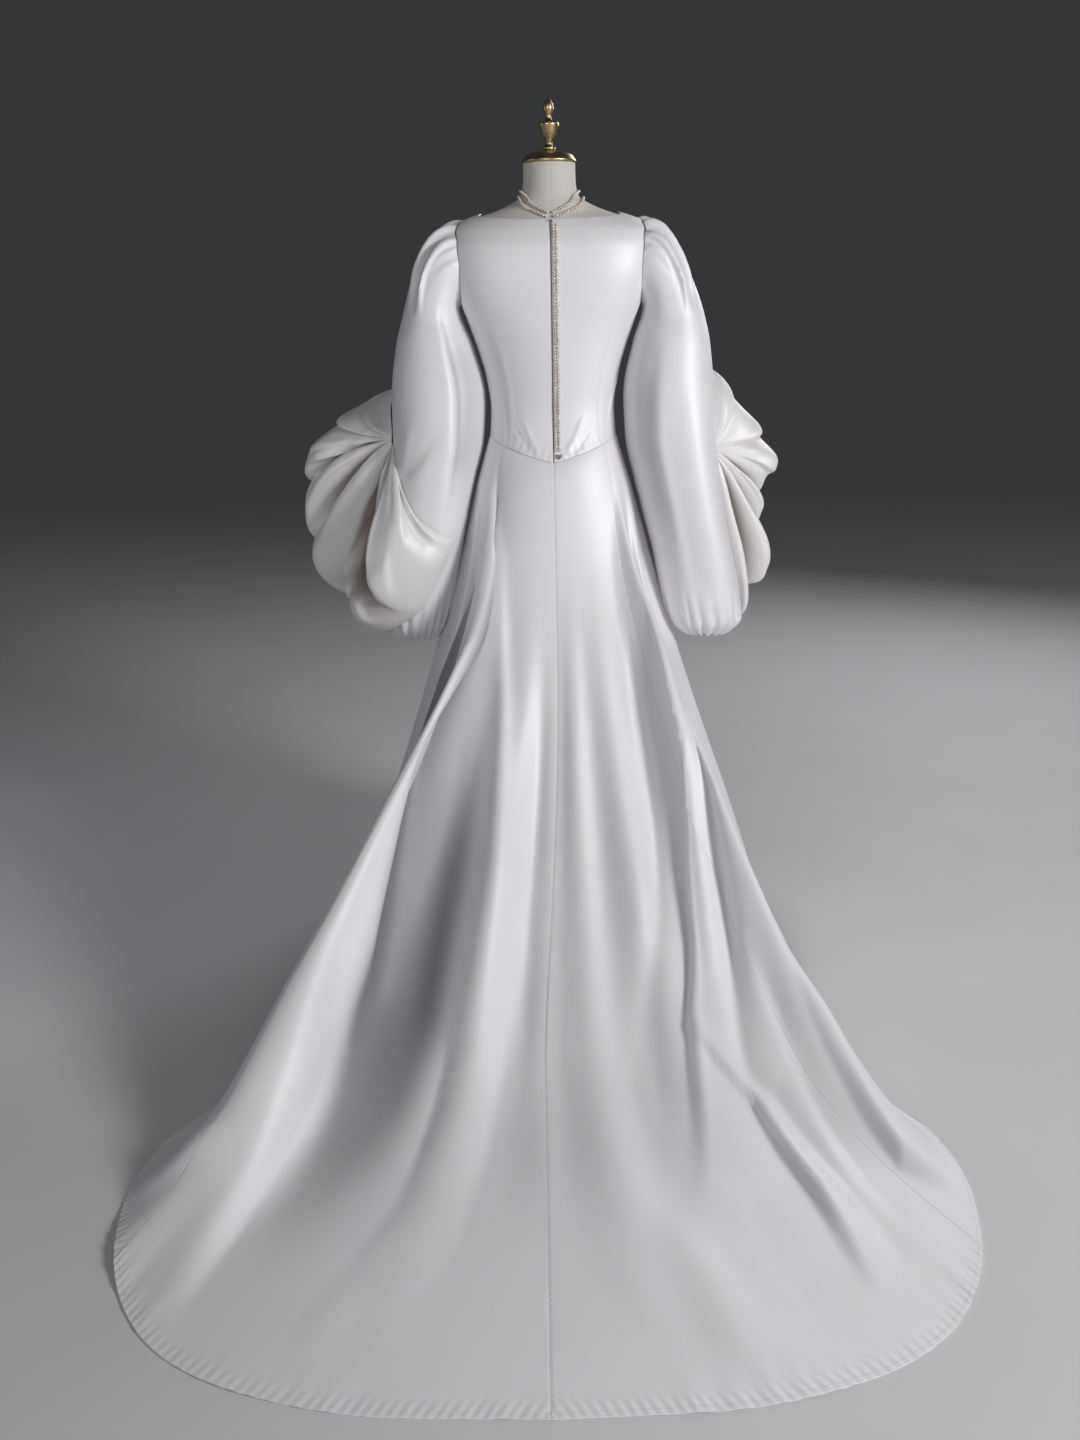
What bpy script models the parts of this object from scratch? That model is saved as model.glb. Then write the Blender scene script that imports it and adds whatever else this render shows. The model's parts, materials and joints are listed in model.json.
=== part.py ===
# A satin wedding dress with a train, worn by a limbless dress form.
# Metres, +Z up. The front of the dress faces -Y, its train lies towards +Y,
# and the wearer's left is +X. The origin is the middle of the underside of
# the form's base plate, on the floor.
import math

import bpy
import numpy as np

# Driving dimensions
CLOTH = 0.0020            # thickness of the satin with its interlining
SEAM = 0.0003             # gap between two pieces that meet
DRESS_EASE = 0.0030       # room between the form and the dress
SHOULDER_EASE = 0.0026    # room where the dress hangs on the shoulders
NECK_TOP = 1.5560         # top of the padded neck
UNDERARM = 1.3000         # lowest point of the armhole
SHOULDER_TIP = 1.4520     # highest point of the armhole
ARMHOLE_HALF_DEPTH = 0.0620
SIDE_WAIST = 1.0460       # waist seam at the side
BASQUE_DROP = 0.0500      # how far the waist seam dips at the centre
BASQUE_SHARP = 0.75       # 1 gives the dip straight sides
NECKLINE_BACK = 1.4480
NECKLINE_FRONT = 1.4380
NECK_CORNER = 1.4620      # where the neckline crosses the shoulder seam
TRAIN_SHIFT = 0.0370      # the train lies this far to the wearer's left
BASE_RADIUS = 0.1700
BASE_THICK = 0.0120
POLE_RADIUS = 0.0140
ZIP_SLIT = 0.0024
ZIP_HALF_WIDTH = 0.0085
ZIP_THICK = 0.0008
ZIP_OUT = 0.0009          # the zip's tape lies this far off the form
PEARL_RADIUS = 0.0035
PEARL_OFF = 0.0012        # room under the pearls down the back
NECK_PEARL_OFF = 0.0008   # room under the pearls round the neck
PENDANT = (0.0150, 0.0115, 0.0030)
HOOK_WIRE = 0.0008
HOOK_HEIGHT = 1.4440       # the hook joins the back's lips here
HOOK_HALF_LENGTH = 0.0045
HOOK_OFF = 0.0006          # room under the hook
HEART_SIDE = -0.0095       # the heart hangs between the two pearl strands
HEART_SEAT = 0.0042        # the heart's back lies this far off the bodice
HEART_POINTS = 16
ZIP_HEIGHTS = (1.012, 1.050, 1.100, 1.160, 1.220, 1.260, 1.300, 1.350, 1.400, 1.430, 1.440)
ZIP_EDGE_BACK = 0.0003     # the tape's edges follow the round of the form
PUFF_SEAT = 0.0027        # the puff stands this far off the sleeve at its gathers
PUFF_FAR_SEAT = 0.0065    # and this far where it is sewn down again
PUFF_FULLNESS = 0.80      # below 1 the lobes are round to their ends
PUFF_FORWARD = 0.0750     # how far the far half of the outer lobes bulges forwards
PUFF_TURN = -14.0         # lobes from this direction on bulge forwards
HIP_LEVEL = 0.8800         # the form's widest level under the waist
HIP_EASE = 0.0012          # further room between the hips and the skirt
HIP_BLEND = 0.0300         # how softly the skirt leaves the hips
HIP_BLEND_RISE = 0.2000    # height under the waist over which it does so
SOFT_LANDING = 0.05       # share of a skirt line over which it bends on to the floor
BODICE_COLUMNS = 9       # points round each half of the bodice

# Levels of the padded form: height, half width, depth in front, depth behind,
# squareness of the section (2 is an ellipse)
FORM_LEVELS = (
    (0.790, 0.134, 0.080, 0.096, 2.2),
    (0.830, 0.148, 0.092, 0.112, 2.2),
    (0.880, 0.151, 0.096, 0.118, 2.2),
    (0.940, 0.146, 0.093, 0.112, 2.2),
    (1.000, 0.132, 0.088, 0.097, 2.2),
    (1.050, 0.1205, 0.083, 0.084, 2.2),
    (1.100, 0.1180, 0.082, 0.078, 2.2),
    (1.160, 0.1260, 0.095, 0.082, 2.2),
    (1.220, 0.1430, 0.116, 0.088, 2.2),
    (1.260, 0.1570, 0.124, 0.092, 2.4),
    (1.300, 0.1710, 0.119, 0.095, 2.8),
    (1.350, 0.1850, 0.099, 0.098, 3.0),
    (1.400, 0.1930, 0.080, 0.093, 2.8),
    (1.430, 0.1920, 0.064, 0.083, 2.4),
    (1.447, 0.1770, 0.053, 0.073, 2.0),
    (1.456, 0.1520, 0.048, 0.066, 1.9),
    (1.466, 0.1180, 0.045, 0.060, 1.7),
    (1.480, 0.0820, 0.044, 0.056, 1.9),
    (1.496, 0.0570, 0.045, 0.052, 2.0),
    (1.520, 0.0510, 0.046, 0.050, 2.0),
    (1.556, 0.0500, 0.048, 0.050, 2.0),
)

# Skirt lines from the waist seam to the hem, from centre front to centre
# back: angle at the waist, hem half width, hem distance behind, how late the
# line spreads, share of the line that is off the floor, how softly it lands
SKIRT_LINES = (
    (-90.0, 0.000, -0.430, 1.15, 1.00, 1.00),
    (-62.0, 0.225, -0.370, 1.15, 1.00, 1.00),
    (-32.0, 0.385, -0.190, 1.20, 1.00, 1.00),
    (-6.0, 0.445, 0.060, 1.25, 1.00, 1.00),
    (6.0, 0.470, 0.330, 1.30, 0.97, 1.05),
    (14.0, 0.500, 0.590, 1.35, 0.90, 1.15),
    (21.0, 0.560, 0.790, 1.40, 0.84, 1.25),
    (28.0, 0.622, 0.910, 1.45, 0.84, 1.30),
    (35.0, 0.640, 1.040, 1.45, 0.84, 1.30),
    (43.0, 0.615, 1.210, 1.50, 0.82, 1.35),
    (52.0, 0.535, 1.370, 1.50, 0.76, 1.40),
    (62.0, 0.400, 1.468, 1.50, 0.72, 1.40),
    (75.0, 0.215, 1.517, 1.50, 0.69, 1.40),
    (90.0, 0.000, 1.527, 1.50, 0.68, 1.40),
)
# Long crests where the skirt stays off the floor furthest: skirt line, width
# in lines, extra share off the floor, side
RIDGES = (
    (9.0, 1.1, 0.13, 1),
    (8.0, 1.0, 0.04, -1),
)

# Folds: side, skirt line at the top and at the end, width in lines, depth
# (out is positive), share of the way down where it starts, is deepest, ends
FOLDS = (
    (1, 10.6, 10.9, 0.55, -0.030, 0.10, 0.45, 0.80),
    (1, 12.0, 12.0, 0.60, 0.018, 0.08, 0.40, 0.80),
    (-1, 11.5, 10.8, 0.50, 0.024, 0.12, 0.45, 0.85),
)

# Levels of the sleeves: height, then for the left and the right sleeve the
# nearest and furthest X from the body, half the depth and its middle in Y
SLEEVE_LEVELS = (
    (0.640, 0.242, 0.330, 0.262, 0.362, 0.060, 0.000),
    (0.665, 0.224, 0.350, 0.234, 0.384, 0.088, 0.000),
    (0.720, 0.206, 0.358, 0.216, 0.380, 0.104, 0.000),
    (0.800, 0.192, 0.348, 0.203, 0.364, 0.112, 0.002),
    (0.880, 0.176, 0.336, 0.182, 0.348, 0.116, 0.004),
    (0.960, 0.157, 0.326, 0.161, 0.336, 0.117, 0.005),
    (1.040, 0.138, 0.321, 0.145, 0.326, 0.114, 0.005),
    (1.120, 0.133, 0.320, 0.142, 0.322, 0.106, 0.004),
    (1.225, 0.157, 0.307, 0.162, 0.312, 0.088, 0.002),
    (1.262, 0.172, 0.297, 0.175, 0.304, 0.080, 0.000),
)
SLEEVE_SQUARENESS = 2.3
SLEEVE_COLUMNS = 20
HEAD_LEVEL = 1.2620       # below this the sleeve hangs straight down
SHOULDER_STEP = 0.0026    # wider seam gap over the top of the armhole
HEAD_REACH = {1: 0.225, -1: 0.140}   # how far out the gathered head starts
HEAD_RISE = {1: 0.030, -1: 0.080}    # how steeply it leaves its seam

# Lobes of the gathered puff round its gather point, by side: direction from
# straight down (degrees, the back is positive), where the lobe is sewn down
# again (angle round the sleeve, height), its fullest point (distance from the
# centre plane, Y, height) and its fullness
PUFF_LOBES = {
    1: (
        (-176.0, -30.0, 1.150, 0.330, 0.000, 1.110, 0.00),
        (-150.0, -70.0, 1.140, 0.376, -0.020, 1.108, 0.90),
        (-109.0, -90.0, 1.100, 0.436, -0.030, 1.078, 1.00),
        (-72.0, -97.0, 1.000, 0.508, -0.030, 0.985, 1.00),
        (-50.0, -100.0, 0.900, 0.522, -0.030, 0.885, 1.00),
        (-33.0, -98.0, 0.790, 0.510, -0.015, 0.785, 1.00),
        (-21.0, -86.0, 0.725, 0.454, 0.005, 0.735, 1.00),
        (-12.0, -55.0, 0.668, 0.434, 0.085, 0.775, 1.00),
        (6.0, 25.0, 0.654, 0.412, 0.115, 0.775, 1.00),
        (22.0, 89.0, 0.697, 0.372, 0.136, 0.800, 1.00),
        (38.0, 120.0, 0.789, 0.300, 0.146, 0.862, 1.00),
        (50.0, 133.0, 0.855, 0.260, 0.130, 0.900, 0.00),
    ),
    -1: (
        (-176.0, -40.0, 1.178, 0.322, -0.030, 1.130, 0.00),
        (-150.0, -75.0, 1.170, 0.352, -0.050, 1.134, 0.95),
        (-120.0, -90.0, 1.130, 0.402, -0.060, 1.080, 1.00),
        (-88.0, -97.0, 1.030, 0.460, -0.060, 0.985, 1.00),
        (-66.0, -99.0, 0.950, 0.436, -0.060, 0.915, 1.00),
        (-45.0, -98.0, 0.870, 0.442, -0.060, 0.850, 1.00),
        (-25.0, -95.0, 0.780, 0.452, -0.055, 0.740, 1.00),
        (-5.0, -80.0, 0.700, 0.402, -0.040, 0.690, 1.00),
        (10.0, -40.0, 0.655, 0.365, -0.030, 0.700, 0.00),
    ),
}
# Grooves between the lobes, by side: direction, width, and the depth near the
# gathers and at the rim as shares of the lobe
PUFF_GROOVES = {
    1: ((-135.0, 10.0, 0.12, 0.02), (-100.0, 6.0, 0.16, 0.02), (-67.0, 7.0, 0.30, 0.06),
        (-46.0, 5.0, 0.26, 0.06), (-22.0, 5.0, 0.16, 0.20), (-2.0, 11.0, 0.52, 0.10),
        (19.0, 5.5, 0.62, 0.34)),
    -1: ((-132.0, 8.0, 0.14, 0.02), (-100.0, 7.0, 0.22, 0.03), (-62.0, 7.0, 0.26, 0.10),
         (-20.0, 8.0, 0.42, 0.28)),
}
# Pearl strands round the neck: name, side, height at the nape, rise to the
# side of the neck, how late it rises
NECK_STRANDS = (
    ("pearls_neck_left_low", 1, 1.4560, 0.0400, 1.40),
    ("pearls_neck_left_high", 1, 1.4650, 0.0430, 1.20),
    ("pearls_neck_right_low", -1, 1.4560, 0.0340, 1.40),
    ("pearls_neck_right_high", -1, 1.4650, 0.0410, 1.20),
)
# Pearl strands down the back: name, X at the top, sideways bow
BACK_STRANDS = (("pearls_back_left", -0.0054, 0.0016), ("pearls_back_right", -0.0136, 0.0))
BACK_STRAND_TOP = 1.4400
BACK_STRAND_END = 1.0160
# Where each puff is sewn into three pieces
PUFF_SEAMS = {1: (-176.0, -72.0, 19.0, 50.0), -1: (-176.0, -66.0, -20.0, 10.0)}
# Gather point by side: angle round the sleeve, height
GATHER = {1: (16.0, 1.045), -1: (-14.0, 1.005)}
SIDE_SEAM_LINE = 4.0
BACK_SEAM_LINE = 9.0
LAST_LINE = len(SKIRT_LINES) - 1


def removed_objects():
    """Empty the scene."""
    for item in list(bpy.data.objects):
        bpy.data.objects.remove(item, do_unlink=True)


def satin(name, colour, roughness, metallic=0.0):
    """One material with a Principled shader."""
    material = bpy.data.materials.new(name)
    material.use_nodes = True
    shader = material.node_tree.nodes["Principled BSDF"]
    shader.inputs["Base Color"].default_value = (*colour, 1.0)
    shader.inputs["Roughness"].default_value = roughness
    shader.inputs["Metallic"].default_value = metallic
    return material


def eased(columns, at):
    """Rows of a table read between its first column's values, with no
    overshoot. at may be an array."""
    rows = np.asarray(columns, dtype=float)
    keys = rows[:, 0]
    at = np.clip(np.asarray(at, dtype=float), keys[0], keys[-1])
    step = np.diff(keys)[:, None]
    slope = np.diff(rows[:, 1:], axis=0) / step
    tangent = np.zeros_like(rows[:, 1:])
    tangent[0] = slope[0]
    tangent[-1] = slope[-1]
    product = slope[:-1] * slope[1:]
    mean = 2.0 * product / np.where(np.abs(slope[:-1] + slope[1:]) < 1e-12, 1.0,
                                    slope[:-1] + slope[1:])
    tangent[1:-1] = np.where(product > 0.0, mean, 0.0)
    index = np.clip(np.searchsorted(keys, at, side="right") - 1, 0, len(keys) - 2)
    width = (keys[index + 1] - keys[index])[..., None]
    t = ((at - keys[index]) / (keys[index + 1] - keys[index]))[..., None]
    low, high = rows[index, 1:], rows[index + 1, 1:]
    return (low * (1 + 2 * t) * (1 - t) ** 2 + high * t * t * (3 - 2 * t)
            + tangent[index] * width * t * (1 - t) ** 2
            - tangent[index + 1] * width * t * t * (1 - t))


def ring(height, angle, out):
    """Points of the form's section at a height, moved out by out. The angle
    is 0 at the wearer's left side and 90 degrees at the centre back."""
    height, angle, out = np.broadcast_arrays(
        np.asarray(height, float), np.asarray(angle, float), np.asarray(out, float))
    level = eased(FORM_LEVELS, height)
    cosine, sine = np.cos(np.radians(angle)), np.sin(np.radians(angle))
    depth = np.where(sine < 0.0, level[..., 1], level[..., 2]) + out
    power = 2.0 / level[..., 3]
    x = np.sign(cosine) * (level[..., 0] + out) * np.abs(cosine) ** power
    y = np.sign(sine) * depth * np.abs(sine) ** power
    return np.stack([x, y, height], axis=-1)


def ring_normal(height, angle):
    """Outward unit normals of the form's surface."""
    rise, turn = 0.0015, 1.5
    up = ring(height + rise, angle, 0.0) - ring(height - rise, angle, 0.0)
    round_ = ring(height, angle + turn, 0.0) - ring(height, angle - turn, 0.0)
    normal = np.cross(round_, up)
    return normal / np.linalg.norm(normal, axis=-1, keepdims=True)


def normals(points, closed):
    """Unit normals of a grid of points: rows, then columns round."""
    down = np.gradient(points, axis=0)
    if closed:
        across = np.roll(points, -1, axis=1) - np.roll(points, 1, axis=1)
    else:
        across = np.gradient(points, axis=1)
    normal = np.cross(across, down)
    length = np.linalg.norm(normal, axis=-1, keepdims=True)
    return normal / np.maximum(length, 1e-12)


def new_object(name, vertices, faces, material):
    """One object from triangles or polygons, turned right side out."""
    mesh = bpy.data.meshes.new(name)
    mesh.from_pydata([tuple(v) for v in vertices], [], faces)
    mesh.validate()
    volume = 0.0
    for polygon in mesh.polygons:
        corners = [mesh.vertices[i].co for i in polygon.vertices]
        for second, third in zip(corners[1:], corners[2:]):
            volume += corners[0].dot(second.cross(third))
    if volume < 0.0:
        mesh.flip_normals()
    mesh.materials.append(material)
    mesh.shade_smooth()
    mesh.set_sharp_from_angle(angle=math.radians(50.0))
    item = bpy.data.objects.new(name, mesh)
    bpy.context.collection.objects.link(item)
    return item


def wall(name, face, back, closed, material):
    """A cloth wall between a grid of face points and the grid behind it."""
    rows, columns = face.shape[:2]
    count = rows * columns
    vertices = np.concatenate([face.reshape(-1, 3), back.reshape(-1, 3)])
    spans = columns if closed else columns - 1
    faces = []

    def at(row, column):
        return row * columns + column % columns

    for row in range(rows - 1):
        for column in range(spans):
            a, b = at(row, column), at(row, column + 1)
            c, d = at(row + 1, column + 1), at(row + 1, column)
            faces += [(a, b, c), (a, c, d)]
            faces += [(a + count, c + count, b + count), (a + count, d + count, c + count)]
    for row, turned in ((0, True), (rows - 1, False)):
        for column in range(spans):
            a, b = at(row, column), at(row, column + 1)
            quad = [(a, b + count, b), (a, a + count, b + count)]
            if not turned:
                quad = [tuple(reversed(corner)) for corner in quad]
            faces += quad
    if not closed:
        for column, turned in ((0, True), (columns - 1, False)):
            for row in range(rows - 1):
                a, b = at(row, column), at(row + 1, column)
                quad = [(a, b + count, b), (a, a + count, b + count)]
                if turned:
                    quad = [tuple(reversed(corner)) for corner in quad]
                faces += quad
    return new_object(name, vertices, faces, material)


def turned(name, profile, sides, material):
    """A solid turned round the Z axis from (radius, height) rows, the first
    and last on the axis."""
    angle = np.arange(sides) * 2.0 * math.pi / sides
    vertices = [(0.0, 0.0, profile[0][1])]
    for radius, height in profile[1:-1]:
        vertices += [(radius * math.cos(a), radius * math.sin(a), height) for a in angle]
    vertices.append((0.0, 0.0, profile[-1][1]))
    last = len(vertices) - 1
    faces = []
    for k in range(sides):
        following = (k + 1) % sides
        faces.append((0, 1 + following, 1 + k))
        for level in range(len(profile) - 3):
            low, high = 1 + level * sides, 1 + (level + 1) * sides
            faces.append((low + k, low + following, high + following, high + k))
        top = 1 + (len(profile) - 3) * sides
        faces.append((top + k, top + following, last))
    return new_object(name, vertices, faces, material)


def build_form(linen, brass, steel):
    """The padded torso and neck, its cap and finial, its pole and base."""
    heights = np.array([0.790, 0.830, 0.880, 0.940, 1.000, 1.050, 1.100, 1.160, 1.220,
                        1.260, 1.300, 1.350, 1.400, 1.430, 1.447, 1.456, 1.466, 1.473,
                        1.480, 1.488, 1.496, 1.508, 1.525, 1.556])
    columns = 28
    angles = np.arange(columns) * 360.0 / columns
    grid = ring(heights[:, None], angles[None, :], 0.0)
    vertices = list(grid.reshape(-1, 3))
    faces = []
    for row in range(len(heights) - 1):
        for k in range(columns):
            following = (k + 1) % columns
            a, b = row * columns + k, row * columns + following
            faces.append((a, b, b + columns, a + columns))
    faces.append(tuple(reversed(range(columns))))
    top = (len(heights) - 1) * columns
    faces.append(tuple(range(top, top + columns)))
    new_object("form_torso", vertices, faces, linen)

    cap_foot = NECK_TOP + SEAM
    turned("form_neck_cap", (
        (0.0, cap_foot), (0.0495, cap_foot), (0.0520, cap_foot + 0.003),
        (0.0515, cap_foot + 0.007), (0.0440, cap_foot + 0.015),
        (0.0280, cap_foot + 0.021), (0.0130, cap_foot + 0.0235), (0.0, cap_foot + 0.0235)),
        20, brass)
    foot = cap_foot + 0.0235 + SEAM
    turned("form_finial", (
        (0.0, foot), (0.0120, foot), (0.0130, foot + 0.003), (0.0080, foot + 0.007),
        (0.0065, foot + 0.012), (0.0120, foot + 0.024), (0.0180, foot + 0.038),
        (0.0200, foot + 0.045), (0.0175, foot + 0.049), (0.0070, foot + 0.053),
        (0.0050, foot + 0.059), (0.0085, foot + 0.068), (0.0100, foot + 0.076),
        (0.0075, foot + 0.085), (0.0030, foot + 0.091), (0.0, foot + 0.093)),
        12, brass)
    bottom = FORM_LEVELS[0][0]
    turned("form_pole", (
        (0.0, BASE_THICK + SEAM), (POLE_RADIUS, BASE_THICK + SEAM),
        (POLE_RADIUS, bottom - SEAM), (0.0, bottom - SEAM)), 12, steel)
    turned("form_base", (
        (0.0, 0.0), (BASE_RADIUS, 0.0), (BASE_RADIUS, BASE_THICK * 0.6),
        (BASE_RADIUS - 0.004, BASE_THICK), (0.0, BASE_THICK)), 28, steel)


def ease_at(height):
    """Room between the form and the dress at a height."""
    share = np.clip((np.asarray(height, float) - 1.37) / 0.07, 0.0, 1.0)
    share = share * share * (3.0 - 2.0 * share)
    return DRESS_EASE + (SHOULDER_EASE - DRESS_EASE) * share


def waist_height(angle):
    """Height of the waist seam, which dips to a point at both centres."""
    return SIDE_WAIST - BASQUE_DROP * (1.0 - np.abs(np.cos(np.radians(angle)))) ** BASQUE_SHARP


def neckline_height(angle):
    """Height of the bodice's top edge round the form."""
    centre = np.where(np.asarray(angle) < 0.0, NECKLINE_FRONT, NECKLINE_BACK)
    share = np.abs(np.sin(np.radians(angle))) ** 1.2
    return NECK_CORNER + (centre - NECK_CORNER) * share


def armhole_angle(height, front):
    """Angle of the armhole's edge at a height, 0 above and below it."""
    middle = 0.5 * (UNDERARM + SHOULDER_TIP)
    half = 0.5 * (SHOULDER_TIP - UNDERARM)
    inside = np.clip(1.0 - ((height - middle) / half) ** 2, 0.0, None)
    reach = ARMHOLE_HALF_DEPTH * np.sqrt(inside)
    level = eased(FORM_LEVELS, height)
    depth = (level[..., 1] if front else level[..., 2]) + ease_at(height)
    sine = np.clip(reach / depth, 0.0, 0.98) ** (0.5 * level[..., 3])
    return np.degrees(np.arcsin(sine))


def armhole_height(angle):
    """Height on the armhole at an angle round it, 0 at the top."""
    middle = 0.5 * (UNDERARM + SHOULDER_TIP)
    half = 0.5 * (SHOULDER_TIP - UNDERARM)
    return middle + half * np.cos(np.radians(angle))


def bodice_rows():
    """Shares of the way from the waist seam to the top edge."""
    steps = np.arange(SLEEVE_COLUMNS // 2, -1, -1) * 360.0 / SLEEVE_COLUMNS
    heights = np.concatenate([(SIDE_WAIST, 1.070, 1.105, 1.150, 1.200, 1.250, 1.285),
                              armhole_height(steps), (1.457, NECK_CORNER)])
    return (heights - SIDE_WAIST) / (NECK_CORNER - SIDE_WAIST)


def bodice_places(share_up, share_round, front):
    """Heights and angles of a bodice half on the wearer's left, from its side
    edge (share_round 0) to the centre (1)."""
    height = SIDE_WAIST + share_up * (NECK_CORNER - SIDE_WAIST)
    edge = armhole_angle(height, front)
    angle = edge + (90.0 - edge) * share_round
    signed = -angle if front else angle
    bottom, top = waist_height(signed), neckline_height(signed)
    return bottom + (top - bottom) * share_up, signed


def mirrored(points):
    """The same grid on the wearer's right, its columns in the same order."""
    return points * np.array([-1.0, 1.0, 1.0])


def bodice_half(front):
    """Inner and outer points of one half of the bodice."""
    shares = bodice_rows()
    heights = SIDE_WAIST + shares * (NECK_CORNER - SIDE_WAIST)
    round_ = np.linspace(0.0, 1.0, BODICE_COLUMNS) ** 1.15
    height, angle = bodice_places(shares[:, None], round_[None, :], front)
    base, normal = ring(height, angle, 0.0), ring_normal(height, angle)
    sewn = armhole_angle(heights, front) <= 0.0
    normal[sewn, 0, 1] = 0.0
    normal[:, -1, 0] = 0.0
    base[sewn, 0, 1] = (-0.5 if front else 0.5) * (SEAM + 0.0002)
    ease = ease_at(height)[..., None]
    return base + normal * ease, base + normal * (ease + CLOTH)


def build_bodice(cloth):
    """Front and two backs, parted at the side and shoulder seams and by the
    zip at the centre back."""
    inner, outer = bodice_half(False)
    inner[:, -1, 0] = outer[:, -1, 0] = ZIP_SLIT * 0.5
    wall("bodice_back_left", outer, inner, False, cloth)
    wall("bodice_back_right", mirrored(outer), mirrored(inner), False, cloth)
    inner, outer = bodice_half(True)
    inner[:, -1, 0] = outer[:, -1, 0] = 0.0
    inner = np.concatenate([inner, mirrored(inner)[:, -2::-1]], axis=1)
    outer = np.concatenate([outer, mirrored(outer)[:, -2::-1]], axis=1)
    wall("bodice_front", outer, inner, False, cloth)


def landed(share):
    """A share of the height that bends softly on to the floor."""
    soft = (share + SOFT_LANDING) ** 2 / (4.0 * SOFT_LANDING)
    soft = np.where(share > SOFT_LANDING, share, soft)
    return np.where(share > -SOFT_LANDING, soft, 0.0)


def skirt_side(lines, shares, side):
    """Inner points of one half of the skirt (side 1 is the wearer's left):
    a row for each share of the way down, a column for each skirt line."""
    keyed = [(number, *row) for number, row in enumerate(SKIRT_LINES)]
    angle, hem_out, hem_back, spread, reach, landing = np.moveaxis(
        eased(keyed, lines), -1, 0)
    for number, width, far, where in RIDGES:
        if where == side:
            crest = np.exp(-((lines - number) / width) ** 2)
            reach = reach + far * crest
            landing = landing - 0.25 * crest
    waist = waist_height(angle) - SEAM - 0.0002
    top = ring(waist, angle, 0.0) + ring_normal(waist, angle) * DRESS_EASE
    top[..., 0] = np.maximum(top[..., 0], 0.0)
    hem = np.stack([hem_out, hem_back], axis=-1)
    share = shares[:, None]
    across = (share ** spread[None, :])[..., None]
    plan = top[None, :, :2] * (1.0 - across) + hem[None] * across
    height = waist[None, :] * landed(1.0 - share / reach[None, :]) ** landing[None, :]
    points = off_the_form(np.concatenate([plan, height[..., None]], axis=-1), angle)
    points[..., 0] *= side
    shift = np.clip((points[..., 1] - 0.2) / 0.6, 0.0, 1.0)
    points[..., 0] += TRAIN_SHIFT * shift * shift * (3.0 - 2.0 * shift)
    return points


def folded(points, lines, shares, side):
    """Push a half of the skirt in and out along its folds."""
    normal = normals(points, False)
    if np.mean(normal[..., 2]) < 0.0:
        normal = -normal
    depth = np.zeros(points.shape[:2])
    for where, top, low, width, push, start, peak, end in FOLDS:
        if where != side:
            continue
        share = shares[:, None]
        line = top + (low - top) * np.clip((share - start) / (end - start), 0.0, 1.0)
        rise = np.clip((share - start) / (peak - start), 0.0, 1.0)
        fall = np.clip((end - share) / (end - peak), 0.0, 1.0)
        envelope = rise * rise * (3 - 2 * rise) * fall * fall * (3 - 2 * fall)
        depth += push * envelope * np.exp(-((lines[None, :] - line) / width) ** 2)
    points = points + normal * depth[..., None]
    points[..., 2] = np.maximum(points[..., 2], 0.0)
    return points


def off_the_form(points, angle):
    """Keep skirt points outside the padded hips, and let them hang straight
    from the widest level."""
    hips = ring(np.clip(points[..., 2], HIP_LEVEL, None), angle[None, :], 0.0)
    least = np.hypot(hips[..., 0], hips[..., 1]) + DRESS_EASE + HIP_EASE
    reach = np.hypot(points[..., 0], points[..., 1])
    soft = HIP_BLEND * np.clip((SIDE_WAIST - points[..., 2]) / HIP_BLEND_RISE, 0.0, 1.0)
    wanted = 0.5 * (reach + least + np.sqrt((reach - least) ** 2 + soft ** 2))
    scale = wanted / np.maximum(reach, 1e-6)
    points = points.copy()
    points[1:, :, 0] *= scale[1:]
    points[1:, :, 1] *= scale[1:]
    return points


def drawn_back(grid, width):
    """The grid with its two side edges drawn in along the rows by half of
    width."""
    grid = grid.copy()
    for edge, neighbour in ((0, 1), (-1, -2)):
        along = grid[:, neighbour] - grid[:, edge]
        length = np.linalg.norm(along, axis=-1, keepdims=True)
        grid[:, edge] += along / np.maximum(length, 1e-9) * 0.5 * width
    return grid


def build_skirt(cloth):
    """Front, two side gores and two back panels with the train."""
    shares = np.concatenate([[0.0, 0.03], np.linspace(0.07, 1.0, 17)])
    lines = np.concatenate([np.linspace(0.0, SIDE_SEAM_LINE, 9)[:-1],
                            np.linspace(SIDE_SEAM_LINE, BACK_SEAM_LINE, 11)[:-1],
                            np.linspace(BACK_SEAM_LINE, LAST_LINE, 11)])
    panels = {"front": slice(0, 9), "side": slice(8, 19), "back": slice(18, 29)}
    halves = {}
    for side in (1, -1):
        inner = folded(skirt_side(lines, shares, side), lines, shares, side)
        normal = normals(inner, False)
        if np.mean(normal[..., 2]) < 0.0:
            normal = -normal
        for edge in (0, -1):
            normal[:, edge, 0] = 0.0
        normal /= np.linalg.norm(normal, axis=-1, keepdims=True)
        outer = inner + normal * CLOTH
        outer[..., 2] = np.maximum(outer[..., 2], inner[..., 2] + 0.0004)
        halves[side] = (inner, outer)
    for side, word in ((1, "left"), (-1, "right")):
        for panel in ("side", "back"):
            inner, outer = (drawn_back(grid[:, panels[panel]], SEAM + 0.0002)
                            for grid in halves[side])
            wall(f"skirt_{panel}_{word}", outer, inner, False, cloth)
    grids = []
    for left, right in zip(halves[1], halves[-1]):
        front = np.concatenate([right[:, panels["front"]][:, ::-1],
                                left[:, panels["front"]][:, 1:]], axis=1)
        grids.append(drawn_back(front, SEAM + 0.0002))
    wall("skirt_front", grids[1], grids[0], False, cloth)


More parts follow.
